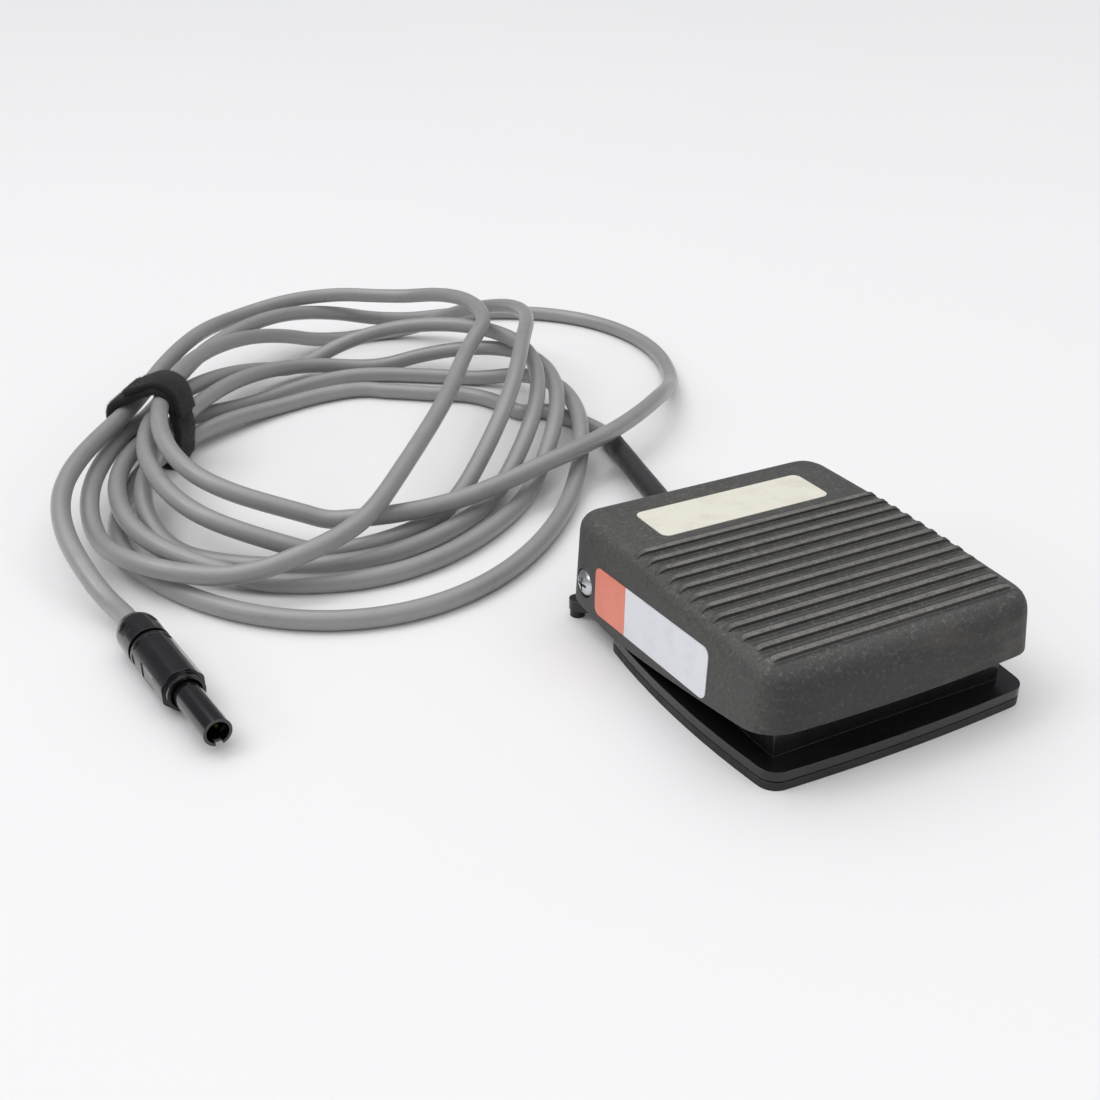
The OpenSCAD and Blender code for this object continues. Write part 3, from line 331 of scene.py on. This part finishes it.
# Bump over edges that are rounded by the given radius
def bump(tree, shader, height, distance, strength=1, edge=0):
    made = node(tree, "ShaderNodeBump", Distance=distance, Strength=strength)
    tree.links.new(height, made.inputs["Height"])
    if edge:
        soft = node(tree, "ShaderNodeBevel", samples=6, Radius=edge)
        tree.links.new(soft.outputs["Normal"], made.inputs["Normal"])
    tree.links.new(made.outputs["Normal"], shader.inputs["Normal"])


# 1 along convex edges, 0 on flats
def worn(tree, edge):
    place = node(tree, "ShaderNodeNewGeometry")
    soft = node(tree, "ShaderNodeBevel", samples=6, Radius=edge)
    dot = node(tree, "ShaderNodeVectorMath", operation="DOT_PRODUCT")
    tree.links.new(place.outputs["Normal"], dot.inputs[0])
    tree.links.new(soft.outputs["Normal"], dot.inputs[1])
    return ranged(tree, dot.outputs["Value"], 1, 0, 0.75, 0.995)


# How far a surface faces along an axis, from -1 to 1
def facing(tree, axis):
    place = node(tree, "ShaderNodeNewGeometry")
    split = node(tree, "ShaderNodeSeparateXYZ")
    tree.links.new(place.outputs["Normal"], split.inputs[0])
    return split.outputs[axis]


# Noise that rises from 0 to 1 between two of its levels
def patches(tree, vector, scale, low, high, detail=6, rough=0.7):
    return ranged(tree, noise(tree, vector, scale, detail, rough), 0, 1, low, high)


def paint(tree, shader, colour):
    tree.links.new(colour, shader.inputs["Base Color"])


# Roughness that wanders between two values
def roughen(tree, shader, value, low, high):
    tree.links.new(ranged(tree, value, low, high, 0.3, 0.7), shader.inputs["Roughness"])


def give(shader, values):
    for key, value in values.items():
        shader.inputs[key].default_value = value


ribs = {
    "count": 12,
    "first": 14.15 * mm,
    "pitch": 48.5 / 11 * mm,
    "half": 0.95 * mm,
    "reach": 34 * mm,
    "fade": 2 * mm,
    "sideShare": 1.35,
    "grooveShares": (1.5, 2.3),
    "blur": 0.02,
}


# 1 on the ribs and -1 in the grooves beside them, from the pedal's own coordinates
def ribShare(tree):
    split = node(tree, "ShaderNodeSeparateXYZ")
    place = node(tree, "ShaderNodeTexCoord")
    tree.links.new(place.outputs["Object"], split.inputs[0])
    home = nodes["pedal"].matrix_world.translation
    front = ribs["first"] + ribs["pitch"] / 2 - home.y
    half, blur = ribs["half"], ribs["blur"]
    near, far = ribs["grooveShares"]
    steps = calc(tree, calc(tree, front, split.outputs["Y"], "SUBTRACT"), 1 / ribs["pitch"])
    phase = calc(tree, steps, 1, "FLOORED_MODULO")
    away = calc(tree, calc(tree, calc(tree, phase, 0.5, "SUBTRACT"), 1, "ABSOLUTE"), ribs["pitch"])
    inside = ranged(tree, away, 1, -1, half, half * ribs["sideShare"])
    free = ranged(tree, away, 1, 0, half * near, half * far)
    rows = calc(tree, ranged(tree, steps, 0, 1, -blur, blur),
        ranged(tree, steps, 1, 0, ribs["count"] - blur, ribs["count"] + blur))
    sideways = calc(tree, split.outputs["X"], 1, "ABSOLUTE")
    across = ranged(tree, sideways, 1, 0, ribs["reach"] - ribs["fade"], ribs["reach"])
    return calc(tree, calc(tree, inside, free), calc(tree, rows, across))


# Tones of the pedal, and how much of each shows
pedal = {
    "low": (0.054, 0.0530, 0.0512),
    "high": (0.080, 0.0775, 0.0735),
    # Painted shade for the toe's front-facing faces
    "toe": (0.026, 0.0255, 0.0245),
    "rubbed": (0.27, 0.255, 0.228),
    # Painted shadow for the grooves beside the ribs
    "groove": (0.014, 0.014, 0.014),
    "pit": (0.022, 0.0215, 0.021),
    "dust": (0.32, 0.31, 0.285),
    "smear": (0.115, 0.106, 0.09),
    "scuff": (0.17, 0.165, 0.155),
    "streak": (0.2, 0.195, 0.19),
    "toeShadeShare": 0.75,
    "rubbedShare": 0.62,
    "dustShare": 0.42,
    "smearShare": 0.4,
    "scuffShare": 0.34,
    "streakShare": 0.12,
    "scuffEdge": 0.5 * mm,
    "edge": 0.35 * mm,
    "grainDepth": 0.07 * mm,
    "smearStretch": (30, 60, 120),
    "streakStretch": (40, 900, 40),
}


# Charcoal moulding: fine grain, pale dust, worn ribs, a painted shadow in the grooves beside them, painted
# shade on the toe's front faces
def pedalPaint():
    made, tree, shader = material("charcoal_paint")
    place = coords(tree)
    up = facing(tree, "Z")
    # Faces that look to the front; this masks the painted toe shade and the smears
    toe = ranged(tree, facing(tree, "Y"), 1, 0, -0.95, -0.25)
    broad = noise(tree, place, 45, 5)
    shade = mixed(tree, broad, pedal["low"], pedal["high"])
    # Painted shade: front-facing faces are darkened towards the toe tone
    shade = mixed(tree, calc(tree, toe, pedal["toeShadeShare"]), shade, pedal["toe"])
    ribbed = ribShare(tree)
    patchy = ranged(tree, noise(tree, place, 260, 6, 0.7), 0.35, 1, 0.3, 0.7)
    crests = calc(tree, ranged(tree, ribbed, 0, 1), ranged(tree, up, 0, 1, 0.35, 0.85))
    rubbed = calc(tree, crests, calc(tree, patchy, pedal["rubbedShare"]))
    shade = mixed(tree, rubbed, shade, pedal["rubbed"])
    # Painted shadow: the grooves just beside each rib, on upward faces, are drawn dark
    grooves = calc(tree, ranged(tree, ribbed, 1, 0, -0.8, 0), ranged(tree, up, 0, 0.72, 0.3, 0.8))
    shade = mixed(tree, grooves, shade, pedal["groove"])
    pits = ranged(tree, noise(tree, place, 1500, 4, 0.7), 0.55, 0, 0.36, 0.5)
    shade = mixed(tree, pits, shade, pedal["pit"])
    dust = calc(tree, patches(tree, place, 900, 0.54, 0.74, 6, 0.75), ranged(tree, up, 0.2, 1, -0.2, 0.9))
    shade = mixed(tree, calc(tree, dust, pedal["dustShare"]), shade, pedal["dust"])
    smears = calc(tree, patches(tree, coords(tree, pedal["smearStretch"]), 1, 0.52, 0.68), toe)
    shade = mixed(tree, calc(tree, smears, pedal["smearShare"]), shade, pedal["smear"])
    scuffs = calc(tree, worn(tree, pedal["scuffEdge"]), patches(tree, place, 420, 0.42, 0.7, 5))
    shade = mixed(tree, calc(tree, scuffs, pedal["scuffShare"]), shade, pedal["scuff"])
    streaks = patches(tree, coords(tree, pedal["streakStretch"]), 1, 0.62, 0.74, 5, 0.65)
    streaks = calc(tree, streaks, ranged(tree, up, 0, 1, 0.6, 1))
    shade = mixed(tree, calc(tree, streaks, pedal["streakShare"]), shade, pedal["streak"])
    paint(tree, shader, shade)
    roughen(tree, shader, broad, 0.5, 0.66)
    give(shader, {"Specular IOR Level": 0.4})
    bump(tree, shader, noise(tree, place, 2600, 3, 0.7), pedal["grainDepth"], 0.7, pedal["edge"])
    return made


mouldings = {
    # edgeTone: the pale edge colour, partly wear and partly a painted highlight
    "black_gloss": {"low": (0.005, 0.005, 0.006), "high": (0.010, 0.010, 0.011), "rough": 0.22,
        "grain": 700, "depth": 0.03 * mm, "edge": 0.3 * mm, "edgeTone": (0.16, 0.16, 0.165), "coat": 0.15},
    "black_rubber": {"low": (0.009, 0.009, 0.0095), "high": (0.016, 0.016, 0.0165), "rough": 0.5,
        "grain": 1500, "depth": 0.05 * mm, "edge": 0.25 * mm, "edgeTone": (0.07, 0.07, 0.07),
        "specular": 0.4},
    "black_nylon": {"low": (0.017, 0.017, 0.018), "high": (0.029, 0.029, 0.03), "rough": 0.42,
        "grain": 900, "depth": 0.04 * mm, "edge": 0.15 * mm, "edgeTone": (0.09, 0.09, 0.09),
        "specular": 0.45},
    "plug_black": {"low": (0.004, 0.004, 0.0045), "high": (0.009, 0.009, 0.01), "rough": 0.14,
        "grain": 800, "depth": 0.02 * mm, "edge": 0.18 * mm, "edgeTone": (0.14, 0.14, 0.14),
        "specular": 0.6, "coat": 0.3},
    "plug_gloss": {"low": (0.003, 0.003, 0.0035), "high": (0.006, 0.006, 0.007), "rough": 0.08,
        "grain": 500, "depth": 0.02 * mm, "edge": 0.15 * mm, "edgeTone": (0.12, 0.12, 0.12),
        "specular": 0.6, "coat": 0.4},
    "nylon": {"low": (0.6, 0.57, 0.48), "high": (0.7, 0.66, 0.56), "rough": 0.4,
        "grain": 900, "depth": 0.02 * mm, "edge": 0.1 * mm},
    "switch_red": {"low": (0.17, 0.02, 0.015), "high": (0.2, 0.028, 0.02), "rough": 0.4,
        "grain": 800, "depth": 0.02 * mm, "edge": 0.15 * mm},
    "crimp_red": {"low": (0.4, 0.05, 0.04), "high": (0.46, 0.06, 0.05), "rough": 0.35,
        "grain": 700, "depth": 0.02 * mm, "edge": 0.15 * mm},
    "wire_film": {"low": (0.25, 0.05, 0.04), "high": (0.3, 0.06, 0.05), "rough": 0.4,
        "grain": 700, "depth": 0.02 * mm, "edge": 0.1 * mm},
}


# A smooth moulding; where edgeTone is given, its convex edges are drawn pale in patches, partly rubbed
# wear and partly a painted edge highlight
def moulding(name, low, high, rough, grain, depth, edge, edgeTone=None, specular=0.5, coat=0):
    made, tree, shader = material(name)
    place = coords(tree)
    shade = mixed(tree, noise(tree, place, 60, 4), low, high)
    if edgeTone:
        # Pale convex edges: rubbed wear together with a painted edge highlight
        edgeRubAndHighlight = calc(tree, worn(tree, edge), ranged(tree, noise(tree, place, 300, 4), 0.25, 1, 0.35, 0.7))
        shade = mixed(tree, calc(tree, edgeRubAndHighlight, 0.55), shade, edgeTone)
    paint(tree, shader, shade)
    roughen(tree, shader, noise(tree, coords(tree, (1, 3, 1)), 120, 5), rough * 0.8, rough * 1.3)
    give(shader, {"Specular IOR Level": specular, "Coat Weight": coat, "Coat Roughness": 0.08})
    bump(tree, shader, noise(tree, place, grain, 3), depth, 0.5, edge)
    return made


metals = {
    "zinc_steel": {"tone": (0.66, 0.68, 0.71), "rough": 0.27, "stretch": (1, 4, 4)},
    "plate_steel": {"tone": (0.5, 0.51, 0.52), "rough": 0.35, "stretch": (2, 1, 1)},
    "spring_steel": {"tone": (0.58, 0.59, 0.6), "rough": 0.25},
    "contact_gold": {"tone": (0.42, 0.30, 0.12), "rough": 0.35},
}


# Drawn or plated metal, with fine lines along its grain
def metal(name, tone, rough, stretch=(1, 1, 1), edge=0.12 * mm):
    made, tree, shader = material(name)
    lines = noise(tree, coords(tree, stretch), 900, 4, 0.6)
    dark = tuple(c * 0.72 for c in tone)
    paint(tree, shader, mixed(tree, patches(tree, coords(tree), 220, 0.3, 0.7, 4, 0.55), dark, tone))
    give(shader, {"Metallic": 1})
    roughen(tree, shader, lines, rough * 0.75, rough * 1.35)
    bump(tree, shader, lines, 0.02 * mm, 0.5, edge)
    return made


films = {
    "cream_film": {"tone": (0.74, 0.715, 0.625), "dirt": (0.40, 0.37, 0.30)},
    "silver_film": {"tone": (0.72, 0.735, 0.775), "dirt": (0.46, 0.46, 0.48)},
    "coral_film": {"tone": (0.76, 0.228, 0.158), "dirt": (0.55, 0.16, 0.11)},
}


# Label film: satin, slightly soiled and rippled
def film(name, tone, dirt):
    made, tree, shader = material(name)
    place = coords(tree)
    soil = calc(tree, patches(tree, place, 130, 0.48, 0.78), 0.35)
    specks = calc(tree, patches(tree, place, 1500, 0.66, 0.74, 3, 0.6), 0.4)
    paint(tree, shader, mixed(tree, specks, mixed(tree, soil, tone, dirt), dirt))
    roughen(tree, shader, noise(tree, place, 300, 4), 0.28, 0.45)
    bump(tree, shader, noise(tree, place, 90, 3), 0.12 * mm, 0.4, 0.08 * mm)
    return made


sheathTones = {"low": (0.245, 0.241, 0.242), "high": (0.320, 0.315, 0.317), "smudge": (0.12, 0.118, 0.115)}


# Grey cord: soft satin, faintly mottled, with shallow long ripples
def sheath():
    made, tree, shader = material("grey_sheath")
    place = coords(tree)
    shade = mixed(tree, noise(tree, place, 38, 4), sheathTones["low"], sheathTones["high"])
    smudge = calc(tree, patches(tree, place, 210, 0.55, 0.8), 0.25)
    paint(tree, shader, mixed(tree, smudge, shade, sheathTones["smudge"]))
    roughen(tree, shader, noise(tree, place, 160, 5), 0.28, 0.42)
    give(shader, {"Specular IOR Level": 0.5, "Coat Weight": 0.2, "Coat Roughness": 0.3})
    bump(tree, shader, noise(tree, place, 240, 3), 0.12 * mm, 0.35)
    return made


loopTones = {"low": (0.003, 0.003, 0.0033), "high": (0.012, 0.012, 0.0125)}


# The tie's tape: dull, with a dense short pile
def loopTape():
    made, tree, shader = material("black_loop")
    fibre = noise(tree, coords(tree), 1900, 4, 0.75)
    paint(tree, shader, mixed(tree, fibre, loopTones["low"], loopTones["high"]))
    give(shader, {"Roughness": 0.95, "Sheen Weight": 0.12, "Sheen Roughness": 0.5})
    bump(tree, shader, fibre, 0.5 * mm, 0.9)
    return made


finishes = {"charcoal_paint": pedalPaint(), "grey_sheath": sheath(), "black_loop": loopTape()}
finishes.update({name: moulding(name, **look) for name, look in mouldings.items()})
finishes.update({name: metal(name, **look) for name, look in metals.items()})
finishes.update({name: film(name, **look) for name, look in films.items()})
print("materials", len(finishes))


smoothing = {"weld": 0.002 * mm, "angle": 34}


# Joins what the import split and shades smooth where faces meet at a small angle
def softShading():
    group = bpy.data.node_groups.new("softShading", "GeometryNodeTree")
    group.interface.new_socket("Geometry", in_out="INPUT", socket_type="NodeSocketGeometry")
    group.interface.new_socket("Geometry", in_out="OUTPUT", socket_type="NodeSocketGeometry")
    start, end = group.nodes.new("NodeGroupInput"), group.nodes.new("NodeGroupOutput")
    merge = group.nodes.new("GeometryNodeMergeByDistance")
    merge.inputs["Distance"].default_value = smoothing["weld"]
    angle = group.nodes.new("GeometryNodeInputMeshEdgeAngle")
    small = group.nodes.new("FunctionNodeCompare")
    small.operation = "LESS_THAN"
    small.inputs["B"].default_value = math.radians(smoothing["angle"])
    faces = group.nodes.new("GeometryNodeSetShadeSmooth")
    edges = group.nodes.new("GeometryNodeSetShadeSmooth")
    edges.domain = "EDGE"
    link = group.links.new
    link(start.outputs[0], merge.inputs["Geometry"])
    link(merge.outputs["Geometry"], faces.inputs["Geometry"])
    link(faces.outputs["Geometry"], edges.inputs["Geometry"])
    link(angle.outputs["Unsigned Angle"], small.inputs["A"])
    link(small.outputs["Result"], edges.inputs["Shade Smooth"])
    link(edges.outputs["Geometry"], end.inputs[0])
    return group


shading = softShading()
for part in frame["record"]["subparts"]:
    piece = nodes[part["node"]]
    piece.data.materials.clear()
    piece.data.materials.append(finishes[part["material_slot"]])
    piece.modifiers.new("softShading", "NODES").node_group = shading
flex.data.materials.append(finishes["grey_sheath"])


# The tie is loop tape closed round the bundle; its outline is the strands' convex hull
def hullOf(points):
    ordered = sorted(map(tuple, points))

    def half(run):
        kept = []
        for p in run:
            while len(kept) > 1 and ((kept[-1][0] - kept[-2][0]) * (p[1] - kept[-2][1])
                    - (kept[-1][1] - kept[-2][1]) * (p[0] - kept[-2][0])) <= 0:
                kept.pop()
            kept.append(p)
        return kept[:-1]

    return half(ordered) + half(ordered[::-1])


tie = {
    "width": 12.5 * mm,
    "thickness": 2.5 * mm,
    "clearance": 0.15 * mm,
    "floor": 0.15 * mm,
    "reach": 14 * mm,
    "around": 120,
    "sway": 0.35 * mm,
    "swayTurn": 0.21,
    "flapBefore": 16,
    "flapPoints": 34,
    "flapLiftShare": 0.98,
    "flapThicknessShare": 0.75,
    "flapWidthShare": 0.96,
    "fibres": 15000,
    "fibreLength": 0.75 * mm,
    "fibreWidth": 0.05 * mm,
    "fibreLean": 0.9,
    "fibreCurl": 0.8,
}
tieAlong = unit(loopAt(1) - loopAt(-1))
tieSide = np.array([tieAlong[1], -tieAlong[0]])


# Where the cord's line crosses the tie's middle plane: (sideways, up)
def strandsAtTie():
    offset = (cordLine[:, :2] - cord["tieAt"]) @ tieAlong
    found = []
    for i in np.nonzero(offset[:-1] * offset[1:] <= 0)[0]:
        t = offset[i] / (offset[i] - offset[i + 1])
        p = cordLine[i] * (1 - t) + cordLine[i + 1] * t
        side = (p[:2] - cord["tieAt"]) @ tieSide
        if abs(side) < tie["reach"]:
            found.append((side, p[2]))
    return found


# The outline at a clearance from the strands, evenly spaced and a little slack
def tieOutline(clearance):
    r = radius + clearance
    angles = np.linspace(0, 2 * math.pi, 24, endpoint=False)
    ring = [(x + r * math.cos(a), max(z + r * math.sin(a), tie["floor"]))
        for x, z in strandsAtTie() for a in angles]
    hull = np.array(hullOf(ring))
    closed = np.vstack([hull, hull[:1]])
    s = lengthsAlong(closed)
    at = np.linspace(0, s[-1], tie["around"], endpoint=False)
    even = np.column_stack([np.interp(at, s, closed[:, k]) for k in (0, 1)])
    for _ in range(3):
        even = (np.roll(even, 1, 0) + 2 * even + np.roll(even, -1, 0)) / 4
    return even


def inTie(side, along, up):
    flat = cord["tieAt"] + tieSide * side + tieAlong * along
    return Vector((flat[0], flat[1], up))


# A strap with rounded selvedges that follows an outline given as (sideways, up)
def strapPiece(name, outline, thickness, width, closed=True):
    count = len(outline)
    following = np.roll(outline, -1, 0) - np.roll(outline, 1, 0)
    if not closed:
        following[0], following[-1] = outline[1] - outline[0], outline[-1] - outline[-2]
    outward = np.column_stack([following[:, 1], -following[:, 0]])
    outward /= np.linalg.norm(outward, axis=1)[:, None]
    half = [(math.cos(a), math.sin(a)) for a in np.linspace(0, math.pi, 5)]
    r = thickness / 2
    section = [(width / 2 - r + r * s, r * c) for c, s in half]
    section += [(-(width / 2 - r) - r * s, -r * c) for c, s in half]
    vertices = []
    for i in range(count):
        sway = tie["sway"] * math.sin(i * tie["swayTurn"])
        for along, lift in section:
            side, up = outline[i] + outward[i] * (lift + r)
            vertices.append(inTie(side, along + sway, max(up, tie["floor"])))
    ring = len(section)
    faces = []
    for i in range(count if closed else count - 1):
        a, b = i * ring, (i + 1) % count * ring
        faces += [(a + k, a + (k + 1) % ring, b + (k + 1) % ring, b + k) for k in range(ring)]
    if not closed:
        faces += [tuple(range(ring))[::-1], tuple(range((count - 1) * ring, count * ring))]
    mesh = bpy.data.meshes.new(name)
    mesh.from_pydata(vertices, [], faces)
    mesh.shade_smooth()
    mesh.materials.append(finishes["black_loop"])
    piece = bpy.data.objects.new(name, mesh)
    scene.collection.objects.link(piece)
    return piece


inner = tieOutline(tie["clearance"])
strap = strapPiece("tie_strap", inner, tie["thickness"], tie["width"])
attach(strap, "base")
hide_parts("cord_tie", "tie_tab")

# The flap laps over the strap's top, one thickness out
top = int(np.argmax(inner[:, 1]))
lap = np.roll(inner, tie["flapBefore"] - top, 0)[:tie["flapPoints"]]
lapOut = np.array([unit(np.array([b[1] - a[1], a[0] - b[0]])) for a, b in zip(lap, lap[1:])])
lapOut = np.vstack([lapOut, lapOut[-1:]])
flap = strapPiece("tie_flap", lap + lapOut * tie["thickness"] * tie["flapLiftShare"],
    tie["thickness"] * tie["flapThicknessShare"], tie["width"] * tie["flapWidthShare"], False)
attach(flap, "base")


# Short curled fibres that stand on a piece's outside
def fuzz(name, source, count, seed):
    draw = random.Random(seed)
    mesh = source.data
    mesh.calc_loop_triangles()
    corners = [[mesh.vertices[v].co.copy() for v in t.vertices] for t in mesh.loop_triangles]
    areas = np.array([t.area for t in mesh.loop_triangles])
    ends = np.cumsum(areas) / areas.sum()
    vertices, faces = [], []
    for _ in range(count):
        k = int(np.searchsorted(ends, draw.random()))
        a, b, c = corners[min(k, len(corners) - 1)]
        u, v = draw.random(), draw.random()
        if u + v > 1:
            u, v = 1 - u, 1 - v
        root = a + (b - a) * u + (c - a) * v
        out = (b - a).cross(c - a).normalized()
        lean = Vector([draw.uniform(-1, 1) for _ in range(3)])
        way = (out + tie["fibreLean"] * lean).normalized()
        reach = tie["fibreLength"] * draw.uniform(0.35, 1)
        side = way.cross(lean).normalized() * tie["fibreWidth"] / 2
        middle = root + way * reach * 0.6
        curl = (way + tie["fibreCurl"] * lean.cross(out)).normalized()
        tip = middle + curl * reach * 0.5
        if min(middle.z, tip.z) < tie["floor"]:
            continue
        first = len(vertices)
        vertices += [root - side, root + side, middle + side, middle - side, tip]
        faces += [(first, first + 1, first + 2, first + 3), (first + 3, first + 2, first + 4)]
    made = bpy.data.meshes.new(name)
    made.from_pydata(vertices, [], faces)
    made.materials.append(finishes["black_loop"])
    piece = bpy.data.objects.new(name, made)
    scene.collection.objects.link(piece)
    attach(piece, "base")
    return piece


strapFuzz = fuzz("tie_strap_fuzz", strap, tie["fibres"], 3)
flapFuzz = fuzz("tie_flap_fuzz", flap, tie["fibres"] // 3, 5)
print("tie", len(strandsAtTie()), "strands")

onCord = [nodes[n] for n in ("cord_sleeve", "plug_nut", "plug_collet", "plug_shell", "plug_nose",
    "plug_insert", "plug_pins")]
onCord += [strap, flap, strapFuzz, flapFuzz]


floor = {"half": 6, "low": (0.805, 0.805, 0.81), "high": (0.83, 0.83, 0.835)}


# White paper under the object
def paperFloor():
    half = floor["half"]
    corners = [(-half, -half, 0), (half, -half, 0), (half, half, 0), (-half, half, 0)]
    mesh = bpy.data.meshes.new("floor")
    mesh.from_pydata(corners, [], [(0, 1, 2, 3)])
    piece = bpy.data.objects.new("floor", mesh)
    scene.collection.objects.link(piece)
    made, tree, shader = material("paper")
    place = coords(tree)
    paint(tree, shader, mixed(tree, noise(tree, place, 3, 2), floor["low"], floor["high"]))
    give(shader, {"Roughness": 0.6, "Specular IOR Level": 0.2})
    bump(tree, shader, noise(tree, place, 900, 2), 0.02 * mm, 0.2)
    mesh.materials.append(made)


# What the camera sees, what lights the object, and what gloss mirrors from below to above
studio = {
    "seen": (0.86, 0.86, 0.865, 1),
    "lit": (0.965, 0.965, 0.975, 1),
    "litStrength": 0.6,
    "mirrored": [
        (0, (0.42, 0.43, 0.45)),
        (0.2, (0.16, 0.165, 0.175)),
        (0.55, (0.2, 0.205, 0.215)),
        (0.85, (0.95, 0.96, 1)),
        (1, (1.1, 1.1, 1.12)),
    ],
}


# Background a where share is 0 and b where it is 1
def blended(tree, share, a, b):
    made = node(tree, "ShaderNodeMixShader")
    for socket, source in zip(made.inputs, (share, a.outputs[0], b.outputs[0])):
        tree.links.new(source, socket)
    return made


def surroundings():
    world = bpy.data.worlds.new("studio")
    scene.world = world
    world.use_nodes = True
    tree = world.node_tree
    seen = tree.nodes["Background"]
    seen.inputs["Color"].default_value = studio["seen"]
    seen.inputs["Strength"].default_value = 1
    lit = node(tree, "ShaderNodeBackground", Color=studio["lit"], Strength=studio["litStrength"])
    mirrored = node(tree, "ShaderNodeBackground", Strength=1)
    place = node(tree, "ShaderNodeTexCoord")
    split = node(tree, "ShaderNodeSeparateXYZ")
    tree.links.new(place.outputs["Generated"], split.inputs[0])
    tree.links.new(ramp(tree, split.outputs["Z"], studio["mirrored"]), mirrored.inputs["Color"])
    rays = node(tree, "ShaderNodeLightPath")
    either = calc(tree, rays.outputs["Is Camera Ray"], rays.outputs["Is Transmission Ray"], "MAXIMUM")
    unseen = blended(tree, rays.outputs["Is Glossy Ray"], lit, mirrored)
    whole = blended(tree, either, unseen, seen)
    tree.links.new(whole.outputs[0], tree.nodes["World Output"].inputs["Surface"])


suns = {
    "ceiling": {"way": (0.05, -0.12, -1), "spread": 90, "strength": 1.1},
    "window": {"way": (0.62, -0.35, -1), "spread": 28, "strength": 0.45, "tone": (0.98, 0.985, 1)},
}
panels = {
    "overhead": {"place": (-0.25, 0.45, 1.3), "aim": (-0.05, 0.1, 0), "size": (0.6, 0.12), "power": 1.15},
    "windowLeft": {"place": (-1.3, 0.1, 0.6), "aim": (-0.08, 0.1, 0), "size": (0.5, 0.24), "power": 1.4,
        "tone": (0.985, 0.99, 1)},
    "frontFill": {"place": (0.5, -1.1, 0.7), "aim": (-0.02, 0, 0), "size": (0.36, 0.2), "power": 0.8},
}


# A lamp that shines along a way
def lampPiece(name, kind, way, power, tone):
    data = bpy.data.lights.new(name, kind)
    data.energy = power
    data.color = tone
    lamp = bpy.data.objects.new(name, data)
    scene.collection.objects.link(lamp)
    lamp.rotation_euler = way.to_track_quat("-Z", "Y").to_euler()
    return lamp


def softSun(name, way, spread, strength, tone=(1, 1, 1)):
    lamp = lampPiece(name, "SUN", Vector(way), strength, tone)
    lamp.data.angle = math.radians(spread)


def lightPanel(name, place, aim, size, power, tone=(1, 1, 1)):
    lamp = lampPiece(name, "AREA", Vector(aim) - Vector(place), power, tone)
    lamp.data.shape = "RECTANGLE"
    lamp.data.size, lamp.data.size_y = size
    lamp.location = place


paperFloor()
surroundings()
for name, look in suns.items():
    softSun(name, **look)
for name, look in panels.items():
    lightPanel(name, **look)
scene.view_settings.view_transform = "Standard"
print("stage", len(suns) + len(panels), "lights")
